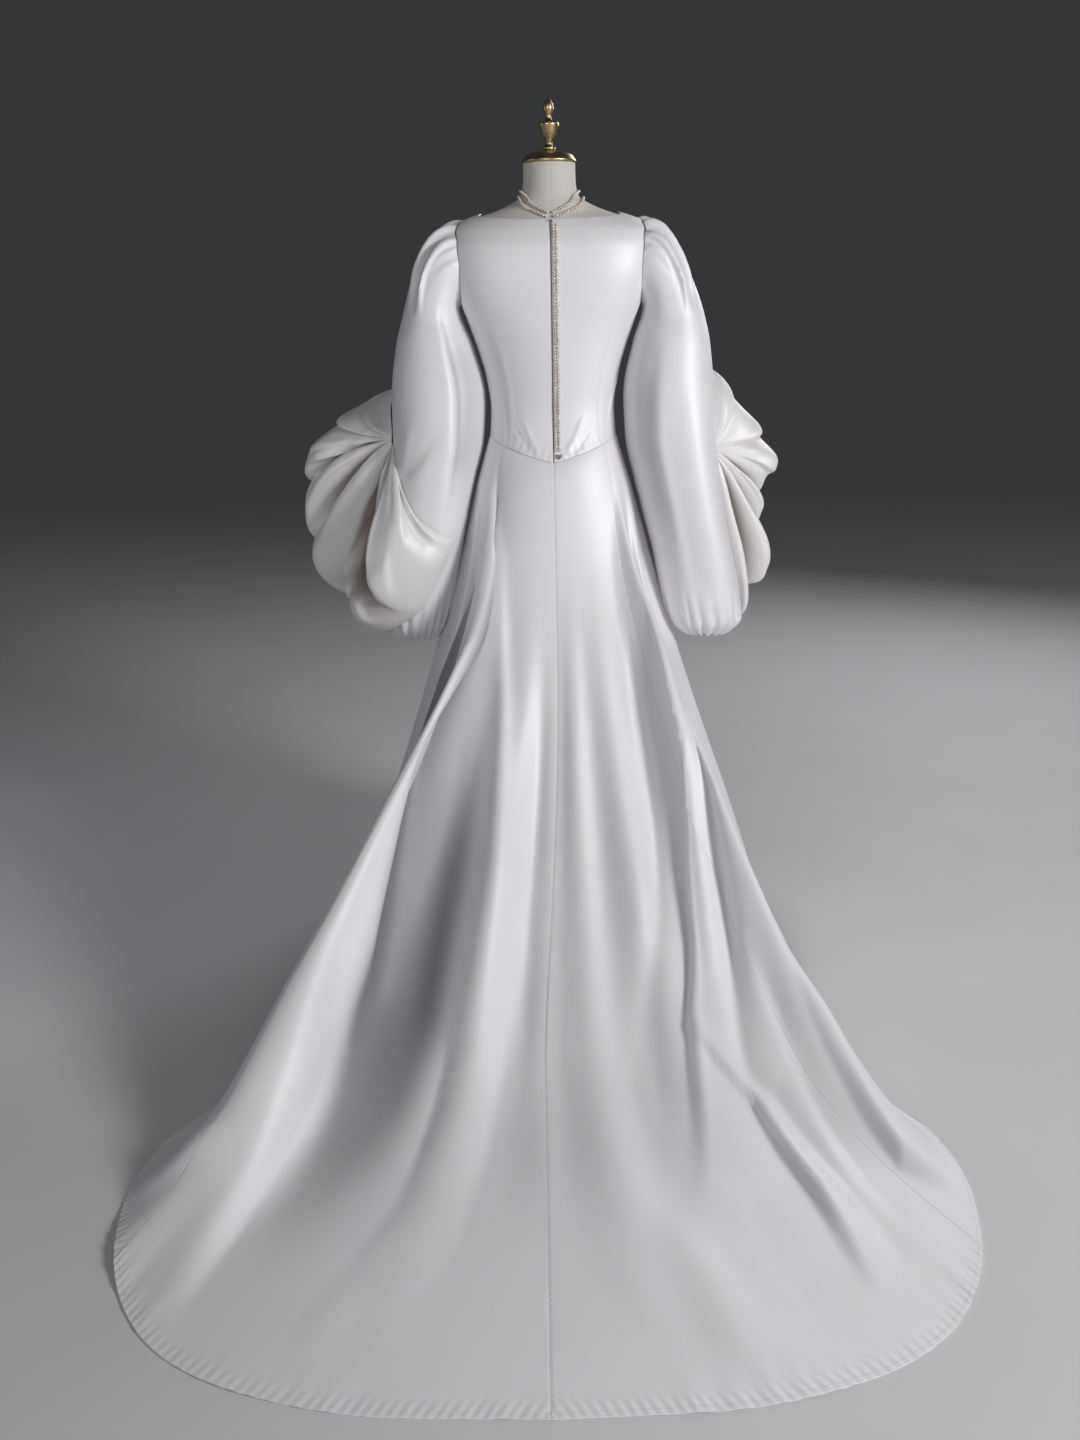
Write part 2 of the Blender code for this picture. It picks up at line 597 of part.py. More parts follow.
def sleeve_section(height, angle, side):
    """Outer points and outward normals of the hanging part of a sleeve. The
    angle is 0 away from the body and 90 degrees at the back."""
    height, angle = np.broadcast_arrays(np.asarray(height, float), np.asarray(angle, float))
    level = eased(SLEEVE_LEVELS, height)
    near, far = (level[..., 0], level[..., 1]) if side > 0 else (level[..., 2], level[..., 3])
    half, middle = 0.5 * (far - near), 0.5 * (far + near)
    cosine, sine = np.cos(np.radians(angle)), np.sin(np.radians(angle))
    power = 2.0 / SLEEVE_SQUARENESS
    x = middle + half * np.sign(cosine) * np.abs(cosine) ** power
    y = level[..., 5] + level[..., 4] * np.sign(sine) * np.abs(sine) ** power
    normal = np.stack([cosine / half, sine / level[..., 4], np.zeros_like(x)], axis=-1)
    normal /= np.linalg.norm(normal, axis=-1, keepdims=True)
    return np.stack([side * x, y, height], axis=-1), normal * np.array([side, 1.0, 1.0])


def armhole_rim(angle):
    """Where the sleeve meets the bodice, on the wearer's left."""
    share = (armhole_height(angle) - SIDE_WAIST) / (NECK_CORNER - SIDE_WAIST)
    rim = []
    for one, turn in zip(share, angle):
        front = math.sin(math.radians(turn)) < 0.0
        height, edge = bodice_places(one, 0.0, front)
        rim.append(ring(height, edge, 0.0)
                   + ring_normal(height, edge) * (ease_at(height) + CLOTH))
    rim = np.array(rim)
    rim[:, 0] += SEAM + 0.0002 + SHOULDER_STEP * np.clip(np.cos(np.radians(angle)), 0.0, 1.0)
    return rim


def build_sleeve(side, word, cloth):
    """A balloon sleeve from the gathered head to the wrist opening."""
    angles = np.arange(SLEEVE_COLUMNS) * 360.0 / SLEEVE_COLUMNS
    rim = armhole_rim(angles) * np.array([side, 1.0, 1.0])
    low, _ = sleeve_section(HEAD_LEVEL, angles, side)
    below, _ = sleeve_section(HEAD_LEVEL - 0.01, angles, side)
    down = (below - low) / 0.01
    up_share = 0.5 + 0.5 * np.cos(np.radians(angles))
    start = np.stack([side * (0.020 + HEAD_REACH[side] * up_share),
                      0.05 * np.sin(np.radians(angles)),
                      HEAD_RISE[side] * up_share - 0.012], axis=-1)
    finish = down * (0.045 + 0.150 * up_share)[:, None]
    rows = []
    for t in (0.0, 0.08, 0.20, 0.36, 0.56, 0.78):
        rows.append(rim * (1 + 2 * t) * (1 - t) ** 2 + start * t * (1 - t) ** 2
                    + low * t * t * (3 - 2 * t) - finish * t * t * (1 - t))
    for height in (HEAD_LEVEL, 1.220, 1.165, 1.105, 1.040, 0.975, 0.910, 0.840, 0.770,
                   0.715, 0.675, 0.652, 0.640):
        rows.append(sleeve_section(height, angles, side)[0])
    bottom = rows[-1]
    middle = bottom.mean(axis=0)
    for share, rise in ((0.45, -0.0035), (1.0, 0.004)):
        ring_in = middle + (bottom - middle) * (1.0 - share * 0.5) + np.array([0.0, 0.0, rise])
        rows.append(ring_in)
    outer = np.array(rows)
    normal = normals(outer, True)
    centre = outer.mean(axis=1, keepdims=True)
    if np.mean(np.sum(normal * (outer - centre), axis=-1)) < 0.0:
        normal = -normal
    hub = rim.mean(axis=0)
    flat = (rim - hub) * np.array([0.0, 1.0, 1.0])
    normal[0] = flat / np.linalg.norm(flat, axis=-1, keepdims=True)
    inner = outer - normal * CLOTH
    wall("sleeve_" + word, outer, inner, True, cloth)


def puff_points(directions, shares, side):
    """Outer points of the puff: a row for each share of the way along its
    lobes, a column for each direction round the gather point."""
    end_turn, end_height, *peak, full = np.moveaxis(eased(PUFF_LOBES[side], directions), -1, 0)
    start_turn, start_height = GATHER[side]

    def path(along, off):
        turn = start_turn + (end_turn - start_turn) * along
        height = start_height + (end_height - start_height) * np.sin(0.5 * math.pi * along)
        base, lean = sleeve_section(height, turn, side)
        return base + lean * np.expand_dims(off, -1)

    share = shares[:, None]
    swell = np.sin(math.pi * (share - shares[0]) / (1.0 - shares[0])) ** PUFF_FULLNESS * full
    far = np.clip((share - 0.25) / 0.35, 0.0, 1.0)
    for where, width, near, rim in PUFF_GROOVES[side]:
        depth = near + (rim - near) * far
        swell = swell * (1.0 - depth * np.exp(-((directions - where) / width) ** 2))
    stand = np.stack([side * peak[0], peak[1], peak[2]], axis=-1) - path(0.5, PUFF_SEAT)
    off = PUFF_SEAT + (PUFF_FAR_SEAT - PUFF_SEAT) * share
    points = path(share, off) + stand[None] * swell[..., None]
    outside = np.clip((PUFF_TURN - directions) / 25.0, 0.0, 1.0)
    points[..., 1] -= PUFF_FORWARD * outside * swell * np.sin(0.5 * math.pi * share) ** 3
    return points


def build_puff(side, word, cloth):
    """The gathered puff over the sleeve, in three pieces."""
    shares = np.array([0.03, 0.06, 0.11, 0.18, 0.27, 0.37, 0.48, 0.59, 0.70, 0.81, 0.91, 1.0])
    bounds = PUFF_SEAMS[side]
    counts = [max(5, int(round((high - low) / 7.0))) for low, high in zip(bounds, bounds[1:])]
    directions = np.concatenate(
        [np.linspace(low, high, count + 1)[:-1]
         for low, high, count in zip(bounds, bounds[1:], counts)] + [[bounds[-1]]])
    outer = puff_points(directions, shares, side)
    normal = normals(outer, False)
    if np.mean(np.sum(normal[2:-2] * (outer - outer.mean(axis=(0, 1)))[2:-2], axis=-1)) < 0.0:
        normal = -normal
    inner = outer - normal * CLOTH
    first = 0
    for number, count in enumerate(counts, start=1):
        piece = slice(first, first + count + 1)
        first += count
        wall(f"puff_{word}_{number}", drawn_back(outer[:, piece], SEAM + 0.0002),
             drawn_back(inner[:, piece], SEAM + 0.0002), False, cloth)


def tube(name, route, radius, sides, material):
    """A round bar with flat ends along a route."""
    route = np.array(route, dtype=float)
    along = np.gradient(route, axis=0)
    along /= np.linalg.norm(along, axis=1, keepdims=True)
    vertices, faces = [], []
    level = np.array([0.0, 0.0, 1.0]) if abs(along[0][2]) < 0.9 else np.array([0.0, 1.0, 0.0])
    for point, way in zip(route, along):
        across = np.cross(way, level)
        across /= np.linalg.norm(across)
        level = np.cross(across, way)
        for k in range(sides):
            turn = 2.0 * math.pi * k / sides
            vertices.append(point + radius * (math.cos(turn) * across + math.sin(turn) * level))
    for row in range(len(route) - 1):
        for k in range(sides):
            a, b = row * sides + k, row * sides + (k + 1) % sides
            faces.append((a, b, b + sides, a + sides))
    faces.append(tuple(reversed(range(sides))))
    last = (len(route) - 1) * sides
    faces.append(tuple(range(last, last + sides)))
    return new_object(name, vertices, faces, material)


def on_bodice(height, x, off):
    """A point off the outside of the back of the bodice at a height and X."""
    level = eased(FORM_LEVELS, height)
    cosine = min(1.0, abs(x) / level[0]) ** (0.5 * level[3])
    angle = math.degrees(math.acos(cosine))
    point = ring(height, angle, 0.0) + ring_normal(height, angle) * (
        ease_at(height) + CLOTH + off)
    return np.array([math.copysign(point[0], x), point[1], point[2]])


def build_pearls(pearl):
    """Two strands each side of the neck and two down the back."""
    for name, side, nape, rise, late in NECK_STRANDS:
        route = []
        for angle in np.linspace(87.0, -87.0, 15):
            height = nape + rise * math.cos(math.radians(angle)) ** late
            point = ring(height, angle, 0.0) + ring_normal(height, angle) * (
                PEARL_RADIUS + NECK_PEARL_OFF)
            route.append(point * np.array([side, 1.0, 1.0]))
        tube(name, route, PEARL_RADIUS, 5, pearl)
    for name, x, bow in BACK_STRANDS:
        route = []
        for share in np.linspace(0.0, 1.0, 14):
            height = BACK_STRAND_TOP + (BACK_STRAND_END - BACK_STRAND_TOP) * share
            aside = bow * math.exp(-((share - 0.82) / 0.13) ** 2)
            route.append(on_bodice(height, x + aside, PEARL_RADIUS + PEARL_OFF))
        tube(name, route, PEARL_RADIUS, 5, pearl)


def build_fastening(tape, silver):
    """The zip's tape under the back opening, the hook over its top, and the
    heart that ends the pearls."""
    grids = []
    for out in (ZIP_OUT + ZIP_THICK, ZIP_OUT):
        rows = []
        for height in ZIP_HEIGHTS:
            centre = ring(height, 90.0, 0.0) + ring_normal(height, 90.0) * out
            rows.append([centre + np.array([x, -ZIP_EDGE_BACK * abs(x) / ZIP_HALF_WIDTH, 0.0])
                         for x in (-ZIP_HALF_WIDTH, 0.0, ZIP_HALF_WIDTH)])
        grids.append(np.array(rows))
    wall("zip", grids[0], grids[1], False, tape)

    eye = on_bodice(HOOK_HEIGHT, 0.0, HOOK_WIRE + HOOK_OFF)
    tube("hook", [eye + np.array([x, 0.0, 0.0])
                  for x in (-HOOK_HALF_LENGTH, 0.0, HOOK_HALF_LENGTH)], HOOK_WIRE, 6, silver)

    width, high, thick = PENDANT
    seat = on_bodice(BACK_STRAND_END, HEART_SIDE, HEART_SEAT)
    outline = []
    for k in range(HEART_POINTS):
        turn = 2.0 * math.pi * k / HEART_POINTS
        outline.append((0.5 * width * math.sin(turn) ** 3,
                        high * (0.42 * math.cos(turn) - 0.16 * math.cos(2.0 * turn)
                                - 0.06 * math.cos(3.0 * turn))))
    middle = BACK_STRAND_END - SEAM - 0.5 * high - 0.0008
    vertices = [(seat[0] + x, seat[1], middle + z) for x, z in outline]
    vertices += [(seat[0] + x, seat[1] + thick, middle + z) for x, z in outline]
    count = HEART_POINTS
    faces = [tuple(range(count)), tuple(reversed(range(count, 2 * count)))]
    faces += [(k, k + count, (k + 1) % count + count, (k + 1) % count) for k in range(count)]
    new_object("pendant", vertices, faces, silver)


removed_objects()
ivory = satin("ivory_satin", (0.86, 0.83, 0.79), 0.38)
linen = satin("form_linen", (0.80, 0.78, 0.73), 0.85)
brass = satin("aged_brass", (0.60, 0.46, 0.24), 0.32, 1.0)
steel = satin("stand_steel", (0.62, 0.62, 0.63), 0.35, 1.0)
build_form(linen, brass, steel)
build_bodice(ivory)
build_skirt(ivory)
for side_sign, side_word in ((1, "left"), (-1, "right")):
    build_sleeve(side_sign, side_word, ivory)
    build_puff(side_sign, side_word, ivory)
build_pearls(satin("pearl", (0.87, 0.80, 0.68), 0.25))
build_fastening(satin("zip_tape", (0.80, 0.77, 0.72), 0.7),
                satin("dark_silver", (0.45, 0.44, 0.43), 0.3, 1.0))
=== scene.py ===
# %% [markdown]
# # A satin wedding dress on a dress form
# The solids of this object are already made: they give each panel its place and
# its outline. This lesson puts the looks over them: cloth that falls in folds,
# pearls bead by bead, brass, linen and light.

# %% Start from the frame
import json
import math
import bpy
import numpy as np
from mathutils import Matrix, Vector

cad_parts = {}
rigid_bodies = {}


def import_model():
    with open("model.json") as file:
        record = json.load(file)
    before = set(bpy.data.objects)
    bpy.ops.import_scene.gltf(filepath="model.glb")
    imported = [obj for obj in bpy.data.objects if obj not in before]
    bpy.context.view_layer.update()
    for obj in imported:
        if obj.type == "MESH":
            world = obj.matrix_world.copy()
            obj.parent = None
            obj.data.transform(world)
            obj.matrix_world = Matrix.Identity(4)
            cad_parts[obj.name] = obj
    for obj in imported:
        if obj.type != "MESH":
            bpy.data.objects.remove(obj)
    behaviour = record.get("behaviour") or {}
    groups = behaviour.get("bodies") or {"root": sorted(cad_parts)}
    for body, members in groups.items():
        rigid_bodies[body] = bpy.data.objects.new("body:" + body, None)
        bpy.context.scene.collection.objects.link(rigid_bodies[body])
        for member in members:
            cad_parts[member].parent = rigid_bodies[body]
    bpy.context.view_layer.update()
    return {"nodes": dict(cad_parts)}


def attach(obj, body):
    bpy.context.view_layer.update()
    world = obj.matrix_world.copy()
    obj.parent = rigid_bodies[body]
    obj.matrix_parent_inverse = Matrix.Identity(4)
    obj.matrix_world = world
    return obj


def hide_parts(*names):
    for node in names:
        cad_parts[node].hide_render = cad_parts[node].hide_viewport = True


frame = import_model()

# %% [markdown]
# A dress is drafted from a few sizes of the body under it. The same numbers rule
# the solids, so cloth that is made from them lies where the solids lie.

# %% Sizes of the form and the dress, in metres
CLOTH = 0.0018
SEAM = 0.0003
DRESS_EASE = 0.0030
SHOULDER_EASE = 0.0026
NECK_TOP = 1.5560
UNDERARM = 1.3000
SHOULDER_TIP = 1.4520
ARMHOLE_HALF_DEPTH = 0.0620
SIDE_WAIST = 1.0460
BASQUE_DROP = 0.0500
BASQUE_SHARP = 0.75
NECKLINE_BACK = 1.4480
NECKLINE_FRONT = 1.4380
NECK_CORNER = 1.4620
TRAIN_SHIFT = 0.0370
ZIP_SLIT = 0.0024
SOFT_LANDING = 0.13

# height, half width, depth in front, depth behind, squareness of the section
FORM_LEVELS = (
    (0.790, 0.134, 0.080, 0.096, 2.2),
    (0.830, 0.148, 0.092, 0.112, 2.2),
    (0.880, 0.151, 0.096, 0.118, 2.2),
    (0.940, 0.146, 0.093, 0.112, 2.2),
    (1.000, 0.132, 0.088, 0.097, 2.2),
    (1.050, 0.1205, 0.083, 0.084, 2.2),
    (1.100, 0.1180, 0.082, 0.078, 2.2),
    (1.160, 0.1260, 0.095, 0.082, 2.2),
    (1.220, 0.1430, 0.116, 0.088, 2.2),
    (1.260, 0.1570, 0.124, 0.092, 2.4),
    (1.300, 0.1710, 0.119, 0.095, 2.8),
    (1.350, 0.1850, 0.099, 0.098, 3.0),
    (1.400, 0.1930, 0.080, 0.093, 2.8),
    (1.430, 0.1920, 0.064, 0.083, 2.4),
    (1.447, 0.1770, 0.053, 0.073, 2.0),
    (1.456, 0.1520, 0.048, 0.066, 1.9),
    (1.466, 0.1180, 0.045, 0.060, 1.7),
    (1.480, 0.0820, 0.044, 0.056, 1.9),
    (1.496, 0.0570, 0.045, 0.052, 2.0),
    (1.520, 0.0510, 0.046, 0.050, 2.0),
    (1.556, 0.0500, 0.048, 0.050, 2.0),
)
print("form levels:", len(FORM_LEVELS))

# %% [markdown]
# A table of sizes has gaps between its rows. This reader runs a smooth curve
# through them that never swings past a row, as a flexible ruler would not.

# %% Read a table smoothly
def eased(columns, at):
    """Rows of a table read between its first column's values."""
    rows = np.asarray(columns, dtype=float)
    keys = rows[:, 0]
    at = np.clip(np.asarray(at, dtype=float), keys[0], keys[-1])
    slope = np.diff(rows[:, 1:], axis=0) / np.diff(keys)[:, None]
    tangent = np.zeros_like(rows[:, 1:])
    tangent[0], tangent[-1] = slope[0], slope[-1]
    product, total = slope[:-1] * slope[1:], slope[:-1] + slope[1:]
    mean = 2.0 * product / np.where(np.abs(total) < 1e-12, 1.0, total)
    tangent[1:-1] = np.where(product > 0.0, mean, 0.0)
    index = np.clip(np.searchsorted(keys, at, side="right") - 1, 0, len(keys) - 2)
    width = (keys[index + 1] - keys[index])[..., None]
    t = ((at - keys[index]) / (keys[index + 1] - keys[index]))[..., None]
    low, high = rows[index, 1:], rows[index + 1, 1:]
    return (low * (1 + 2 * t) * (1 - t) ** 2 + high * t * t * (3 - 2 * t)
            + tangent[index] * width * t * (1 - t) ** 2
            - tangent[index + 1] * width * t * t * (1 - t))


def smooth(low, high, value):
    """0 below low, 1 above high, and a soft step between."""
    share = np.clip((value - low) / (high - low), 0.0, 1.0)
    return share * share * (3.0 - 2.0 * share)


print("waist half width:", round(float(eased(FORM_LEVELS, 1.09)[0]), 4))

# %% The form's surface and the way out of it
def ring(height, angle, out):
    """Points of the form at a height; 0 degrees is the wearer's left side and
    90 the centre back."""
    height, angle, out = np.broadcast_arrays(
        np.asarray(height, float), np.asarray(angle, float), np.asarray(out, float))
    level = eased(FORM_LEVELS, height)
    cosine, sine = np.cos(np.radians(angle)), np.sin(np.radians(angle))
    depth = np.where(sine < 0.0, level[..., 1], level[..., 2]) + out
    power = 2.0 / level[..., 3]
    x = np.sign(cosine) * (level[..., 0] + out) * np.abs(cosine) ** power
    y = np.sign(sine) * depth * np.abs(sine) ** power
    return np.stack([x, y, height], axis=-1)


def ring_normal(height, angle):
    """Outward unit normals of the form."""
    up = ring(height + 0.0015, angle, 0.0) - ring(height - 0.0015, angle, 0.0)
    around = ring(height, angle + 1.5, 0.0) - ring(height, angle - 1.5, 0.0)
    normal = np.cross(around, up)
    return normal / np.linalg.norm(normal, axis=-1, keepdims=True)


def normals(points, closed):
    """Unit normals of a grid of points: rows, then columns round."""
    down = np.gradient(points, axis=0)
    if closed:
        across = np.roll(points, -1, axis=1) - np.roll(points, 1, axis=1)
    else:
        across = np.gradient(points, axis=1)
    normal = np.cross(across, down)
    return normal / np.maximum(np.linalg.norm(normal, axis=-1, keepdims=True), 1e-12)


def turned_out(normal, points):
    """The same normals, pointing away from the middle of the piece."""
    if np.mean(np.sum(normal * (points - points.mean(axis=(0, 1))), axis=-1)) < 0.0:
        return -normal
    return normal


print("shoulder point:", ring(1.43, 0.0, 0.0).round(3))

# %% [markdown]
# A panel of cloth is a thin closed wall: a grid of points for its face, the same
# grid moved back by the cloth's thickness, and a narrow strip along each edge.
# Its UV map is in metres along the threads, and three more values travel with each
# point: how far it lies from the nearest side seam and from the bottom edge, and
# how deep it lies in a fold. The material uses them for puckers, stitches and a
# painted shade: the colour is darkened deep in the folds, where shade falls.

# %% From a grid to a panel of cloth
pieces = {}


def measured(face, closed):
    """Distances in metres along the rows and down the columns, and to the edges."""
    step = np.linalg.norm(np.diff(face, axis=1), axis=-1)
    across = np.concatenate([np.zeros((len(face), 1)), np.cumsum(step, axis=1)], axis=1)
    drop = np.linalg.norm(np.diff(face, axis=0), axis=-1)
    down = np.concatenate([np.zeros((1, face.shape[1])), np.cumsum(drop, axis=0)], axis=0)
    seam = np.minimum(across, across[:, -1:] - across)
    if closed:
        seam = seam + 1.0
    return across, down, seam, down[-1:] - down


def panel(name, face, back, closed=False, stands_for=(), painted_fold_shade=None):
    """One closed wall of cloth between two grids, with its map and distances.
    The last grid, from 0 to 1, says how far each point deep in a fold is
    darkened by painted shade."""
    rows, columns = face.shape[:2]
    count = rows * columns
    index = np.arange(count).reshape(rows, columns)
    if closed:
        index = np.concatenate([index, index[:, :1]], axis=1)
    a, b = index[:-1, :-1].ravel(), index[:-1, 1:].ravel()
    c, d = index[1:, 1:].ravel(), index[1:, :-1].ravel()
    faces = [np.stack([a, b, c, d], axis=1), np.stack([a, d, c, b], axis=1) + count]
    rims = [index[0], index[-1][::-1]]
    if not closed:
        rims += [index[::-1, 0], index[:, -1]]
    for rim in rims:
        first, second = rim[:-1], rim[1:]
        faces.append(np.stack([second, first, first + count, second + count], axis=1))
    faces = np.concatenate(faces)
    mesh = bpy.data.meshes.new(name)
    points = np.concatenate([face.reshape(-1, 3), back.reshape(-1, 3)])
    mesh.from_pydata(points.tolist(), [], faces.tolist())
    corner = points[faces]
    volume = np.sum(np.cross(corner[:, 0], corner[:, 1]) * corner[:, 2]) + np.sum(
        np.cross(corner[:, 0], corner[:, 2]) * corner[:, 3])
    if volume < 0.0:
        mesh.flip_normals()
    across, down, seam, hem = measured(face, closed)
    loops = np.empty(len(mesh.loops), dtype=int)
    mesh.loops.foreach_get("vertex_index", loops)
    layout = np.tile(np.stack([across, down], axis=-1).reshape(-1, 2), (2, 1))
    mesh.uv_layers.new(name="cloth").data.foreach_set("uv", layout[loops].ravel())
    # painted shade: how much each point's colour is darkened deep in a fold
    painted_fold_shade = np.zeros((rows, columns)) if painted_fold_shade is None else np.clip(painted_fold_shade, 0.0, 1.0)
    for label, values in (("seam", seam), ("hem", hem), ("painted_fold_shade", painted_fold_shade)):
        layer = mesh.attributes.new(label, "FLOAT", "POINT")
        layer.data.foreach_set("value", np.tile(values.ravel(), 2).astype(np.float32))
    mesh.shade_smooth()
    mesh.set_sharp_from_angle(angle=math.radians(62.0))
    item = bpy.data.objects.new(name, mesh)
    bpy.context.collection.objects.link(item)
    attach(item, "root")
    if stands_for:
        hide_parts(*stands_for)
    pieces[name] = item
    side = np.linalg.norm(np.cross(face[1:, 1:] - face[:-1, :-1],
                                   face[1:, :-1] - face[:-1, 1:]), axis=-1)
    print(f"{name}: {across[:, -1].max():.2f} m round, {down[-1].max():.2f} m long, "
          f"{0.5 * side.sum():.3f} m2, {2 * len(faces)} triangles")
    return item


def drawn_back(grid, width=SEAM):
    """The grid with its two side edges drawn in by half of width."""
    grid = grid.copy()
    for edge, neighbour in ((0, 1), (-1, -2)):
        along = grid[:, neighbour] - grid[:, edge]
        length = np.linalg.norm(along, axis=-1, keepdims=True)
        grid[:, edge] += along / np.maximum(length, 1e-9) * np.minimum(0.5 * width, 0.4 * length)
    return grid


def mirrored(points):
    """The same grid on the wearer's right."""
    return points * np.array([-1.0, 1.0, 1.0])


# %% [markdown]
# A fold is a long soft ridge or trough. Each row of a fold table says where its
# line runs over the cloth, how wide it is and how far it pushes the cloth out or
# in. A lean above 0 makes one flank steep, as where cloth is about to tip over.

# %% Lay folds over a grid
def fold_depths(across, down, table):
    """How far each point moves: across and down are the point's own places."""
    depth = np.zeros(np.broadcast(across, down).shape)
    for places, width, push, lean in table:
        places = np.array(places)
        line = np.interp(down, places[:, 0], places[:, 1])
        run = places[-1, 0] - places[0, 0]
        rise = smooth(places[0, 0] - 0.02, places[0, 0] + 0.30 * run, down)
        fall = 1.0 - smooth(places[-1, 0] - 0.35 * run, places[-1, 0] + 0.02, down)
        away = (across - line) / width
        away = away * (1.0 + lean * np.tanh(away))
        depth += push * rise * fall * np.exp(-away * away)
    return depth


print("a fold's crest:", fold_depths(1.0, 0.5, [(((0.0, 1.0), (1.0, 1.0)), 0.3, 0.01, 0.0)]))

# %% [markdown]
# ## The bodice
# Where the bodice meets the form it keeps a few millimetres of room. Its edges
# are curves round the body: the neckline, the armholes and the pointed waist
# seam. Every point is named by two shares, up and round, so that all edges meet.

# %% Edges of the bodice
def ease_at(height):
    """Room between the form and the dress."""
    return DRESS_EASE + (SHOULDER_EASE - DRESS_EASE) * smooth(1.37, 1.44, np.asarray(height))


def waist_height(angle):
    """The waist seam dips to a point at both centres."""
    return SIDE_WAIST - BASQUE_DROP * (1.0 - np.abs(np.cos(np.radians(angle)))) ** BASQUE_SHARP


def neckline_height(angle):
    """Top edge of the bodice."""
    centre = np.where(np.asarray(angle) < 0.0, NECKLINE_FRONT, NECKLINE_BACK)
    return NECK_CORNER + (centre - NECK_CORNER) * np.abs(np.sin(np.radians(angle))) ** 1.2


def armhole_angle(height, front):
    """Angle of the armhole's edge at a height."""
    middle, half = 0.5 * (UNDERARM + SHOULDER_TIP), 0.5 * (SHOULDER_TIP - UNDERARM)
    inside = np.clip(1.0 - ((height - middle) / half) ** 2, 0.0, None)
    level = eased(FORM_LEVELS, height)
    depth = (level[..., 1] if front else level[..., 2]) + ease_at(height)
    sine = np.clip(ARMHOLE_HALF_DEPTH * np.sqrt(inside) / depth, 0.0, 0.98)
    return np.degrees(np.arcsin(sine ** (0.5 * level[..., 3])))


def bodice_places(share_up, share_round, front):
    """Heights and angles of one half, from its side edge to the centre."""
    height = SIDE_WAIST + share_up * (NECK_CORNER - SIDE_WAIST)
    edge = armhole_angle(height, front)
    signed = (edge + (90.0 - edge) * share_round) * (-1.0 if front else 1.0)
    bottom, top = waist_height(signed), neckline_height(signed)
    return bottom + (top - bottom) * share_up, signed


print("waist point:", round(float(waist_height(90.0)), 4))

# %% [markdown]
# The back is smooth over the shoulder blades. A dart line runs down to the waist
# on the left, short creases pull towards the armhole, and small ones gather where
# the waist seam comes to its point.

# %% Creases of the bodice
# ((share down, share round) ...), width, push, lean: share round is 1 at the centre
BACK_CREASES = {
    1: (
        (((0.42, 0.44), (0.62, 0.47), (0.97, 0.50)), 0.018, -0.0026, 0.5),
        (((0.45, 0.50), (0.62, 0.53), (0.95, 0.56)), 0.040, 0.0012, 0.0),
        (((0.30, 0.02), (0.40, 0.16), (0.52, 0.30)), 0.030, 0.0020, 0.4),
        (((0.24, 0.02), (0.34, 0.20), (0.46, 0.42)), 0.030, -0.0018, 0.0),
        (((0.76, 0.10), (0.86, 0.22), (0.97, 0.34)), 0.035, 0.0018, 0.4),
        (((0.86, 0.72), (0.93, 0.80), (0.99, 0.90)), 0.030, 0.0020, 0.0),
        (((0.90, 0.60), (0.95, 0.72), (1.00, 0.84)), 0.028, -0.0014, 0.0),
    ),
    -1: (
        (((0.44, 0.46), (0.62, 0.48), (0.97, 0.50)), 0.020, -0.0012, 0.3),
        (((0.28, 0.02), (0.38, 0.14), (0.50, 0.26)), 0.030, 0.0018, 0.4),
        (((0.24, 0.02), (0.32, 0.18), (0.44, 0.40)), 0.032, -0.0015, 0.0),
        (((0.70, 0.06), (0.80, 0.20), (0.93, 0.34)), 0.035, 0.0022, 0.4),
        (((0.84, 0.70), (0.92, 0.80), (0.99, 0.92)), 0.030, 0.0022, 0.0),
        (((0.89, 0.58), (0.95, 0.72), (1.00, 0.86)), 0.028, -0.0015, 0.0),
    ),
}
FRONT_CREASES = (
    (((0.34, 0.40), (0.60, 0.47), (0.97, 0.50)), 0.020, -0.0020, 0.4),
    (((0.30, 0.02), (0.38, 0.16), (0.46, 0.30)), 0.030, 0.0018, 0.4),
    (((0.78, 0.10), (0.88, 0.24), (0.98, 0.36)), 0.035, 0.0016, 0.3),
)


def bodice_half(front, creases, rows=110, columns=56):
    """Inner and outer points of one half, top edge first."""
    shares = np.linspace(1.0, 0.0, rows)
    heights = SIDE_WAIST + shares * (NECK_CORNER - SIDE_WAIST)
    across = np.linspace(0.0, 1.0, columns) ** 1.1
    height, angle = bodice_places(shares[:, None], across[None, :], front)
    base, normal = ring(height, angle, 0.0), ring_normal(height, angle)
    sewn = armhole_angle(heights, front) <= 0.0
    normal[sewn, 0, 1] = 0.0
    normal[:, -1, 0] = 0.0
    base[sewn, 0, 1] = (-0.5 if front else 0.5) * SEAM
    fold = fold_depths(across[None, :], 1.0 - shares[:, None], creases)
    puffed = np.maximum(fold, -0.0012)
    ease = (ease_at(height) + 0.0004 + puffed)[..., None]
    return base + normal * ease, base + normal * (ease + CLOTH)


for side, word in ((1, "left"), (-1, "right")):
    inner, outer = bodice_half(False, BACK_CREASES[side])
    lips = 0.5 * ZIP_SLIT + 0.0016 * smooth(1.395, 1.455, outer[:, -1, 2])
    inner[:, -1, 0] = outer[:, -1, 0] = lips
    if side < 0:
        inner, outer = mirrored(inner), mirrored(outer)
    panel("bodice_back_panel_" + word, outer, inner, stands_for=["bodice_back_" + word])
inner, outer = bodice_half(True, FRONT_CREASES)
inner[:, -1, 0] = outer[:, -1, 0] = 0.0
whole = [np.concatenate([grid, mirrored(grid)[:, -2::-1]], axis=1) for grid in (inner, outer)]
panel("bodice_front_panel", whole[1], whole[0], stands_for=["bodice_front"])

# %% [markdown]
# ## The skirt and its train
# Each line of the skirt runs from the waist seam to the hem. High up the lines
# stay close; lower down they spread and the last stretch lies on the floor as the
# train. Two lines land later than the rest, and these make the long crests that
# draw the outline of the skirt from behind.

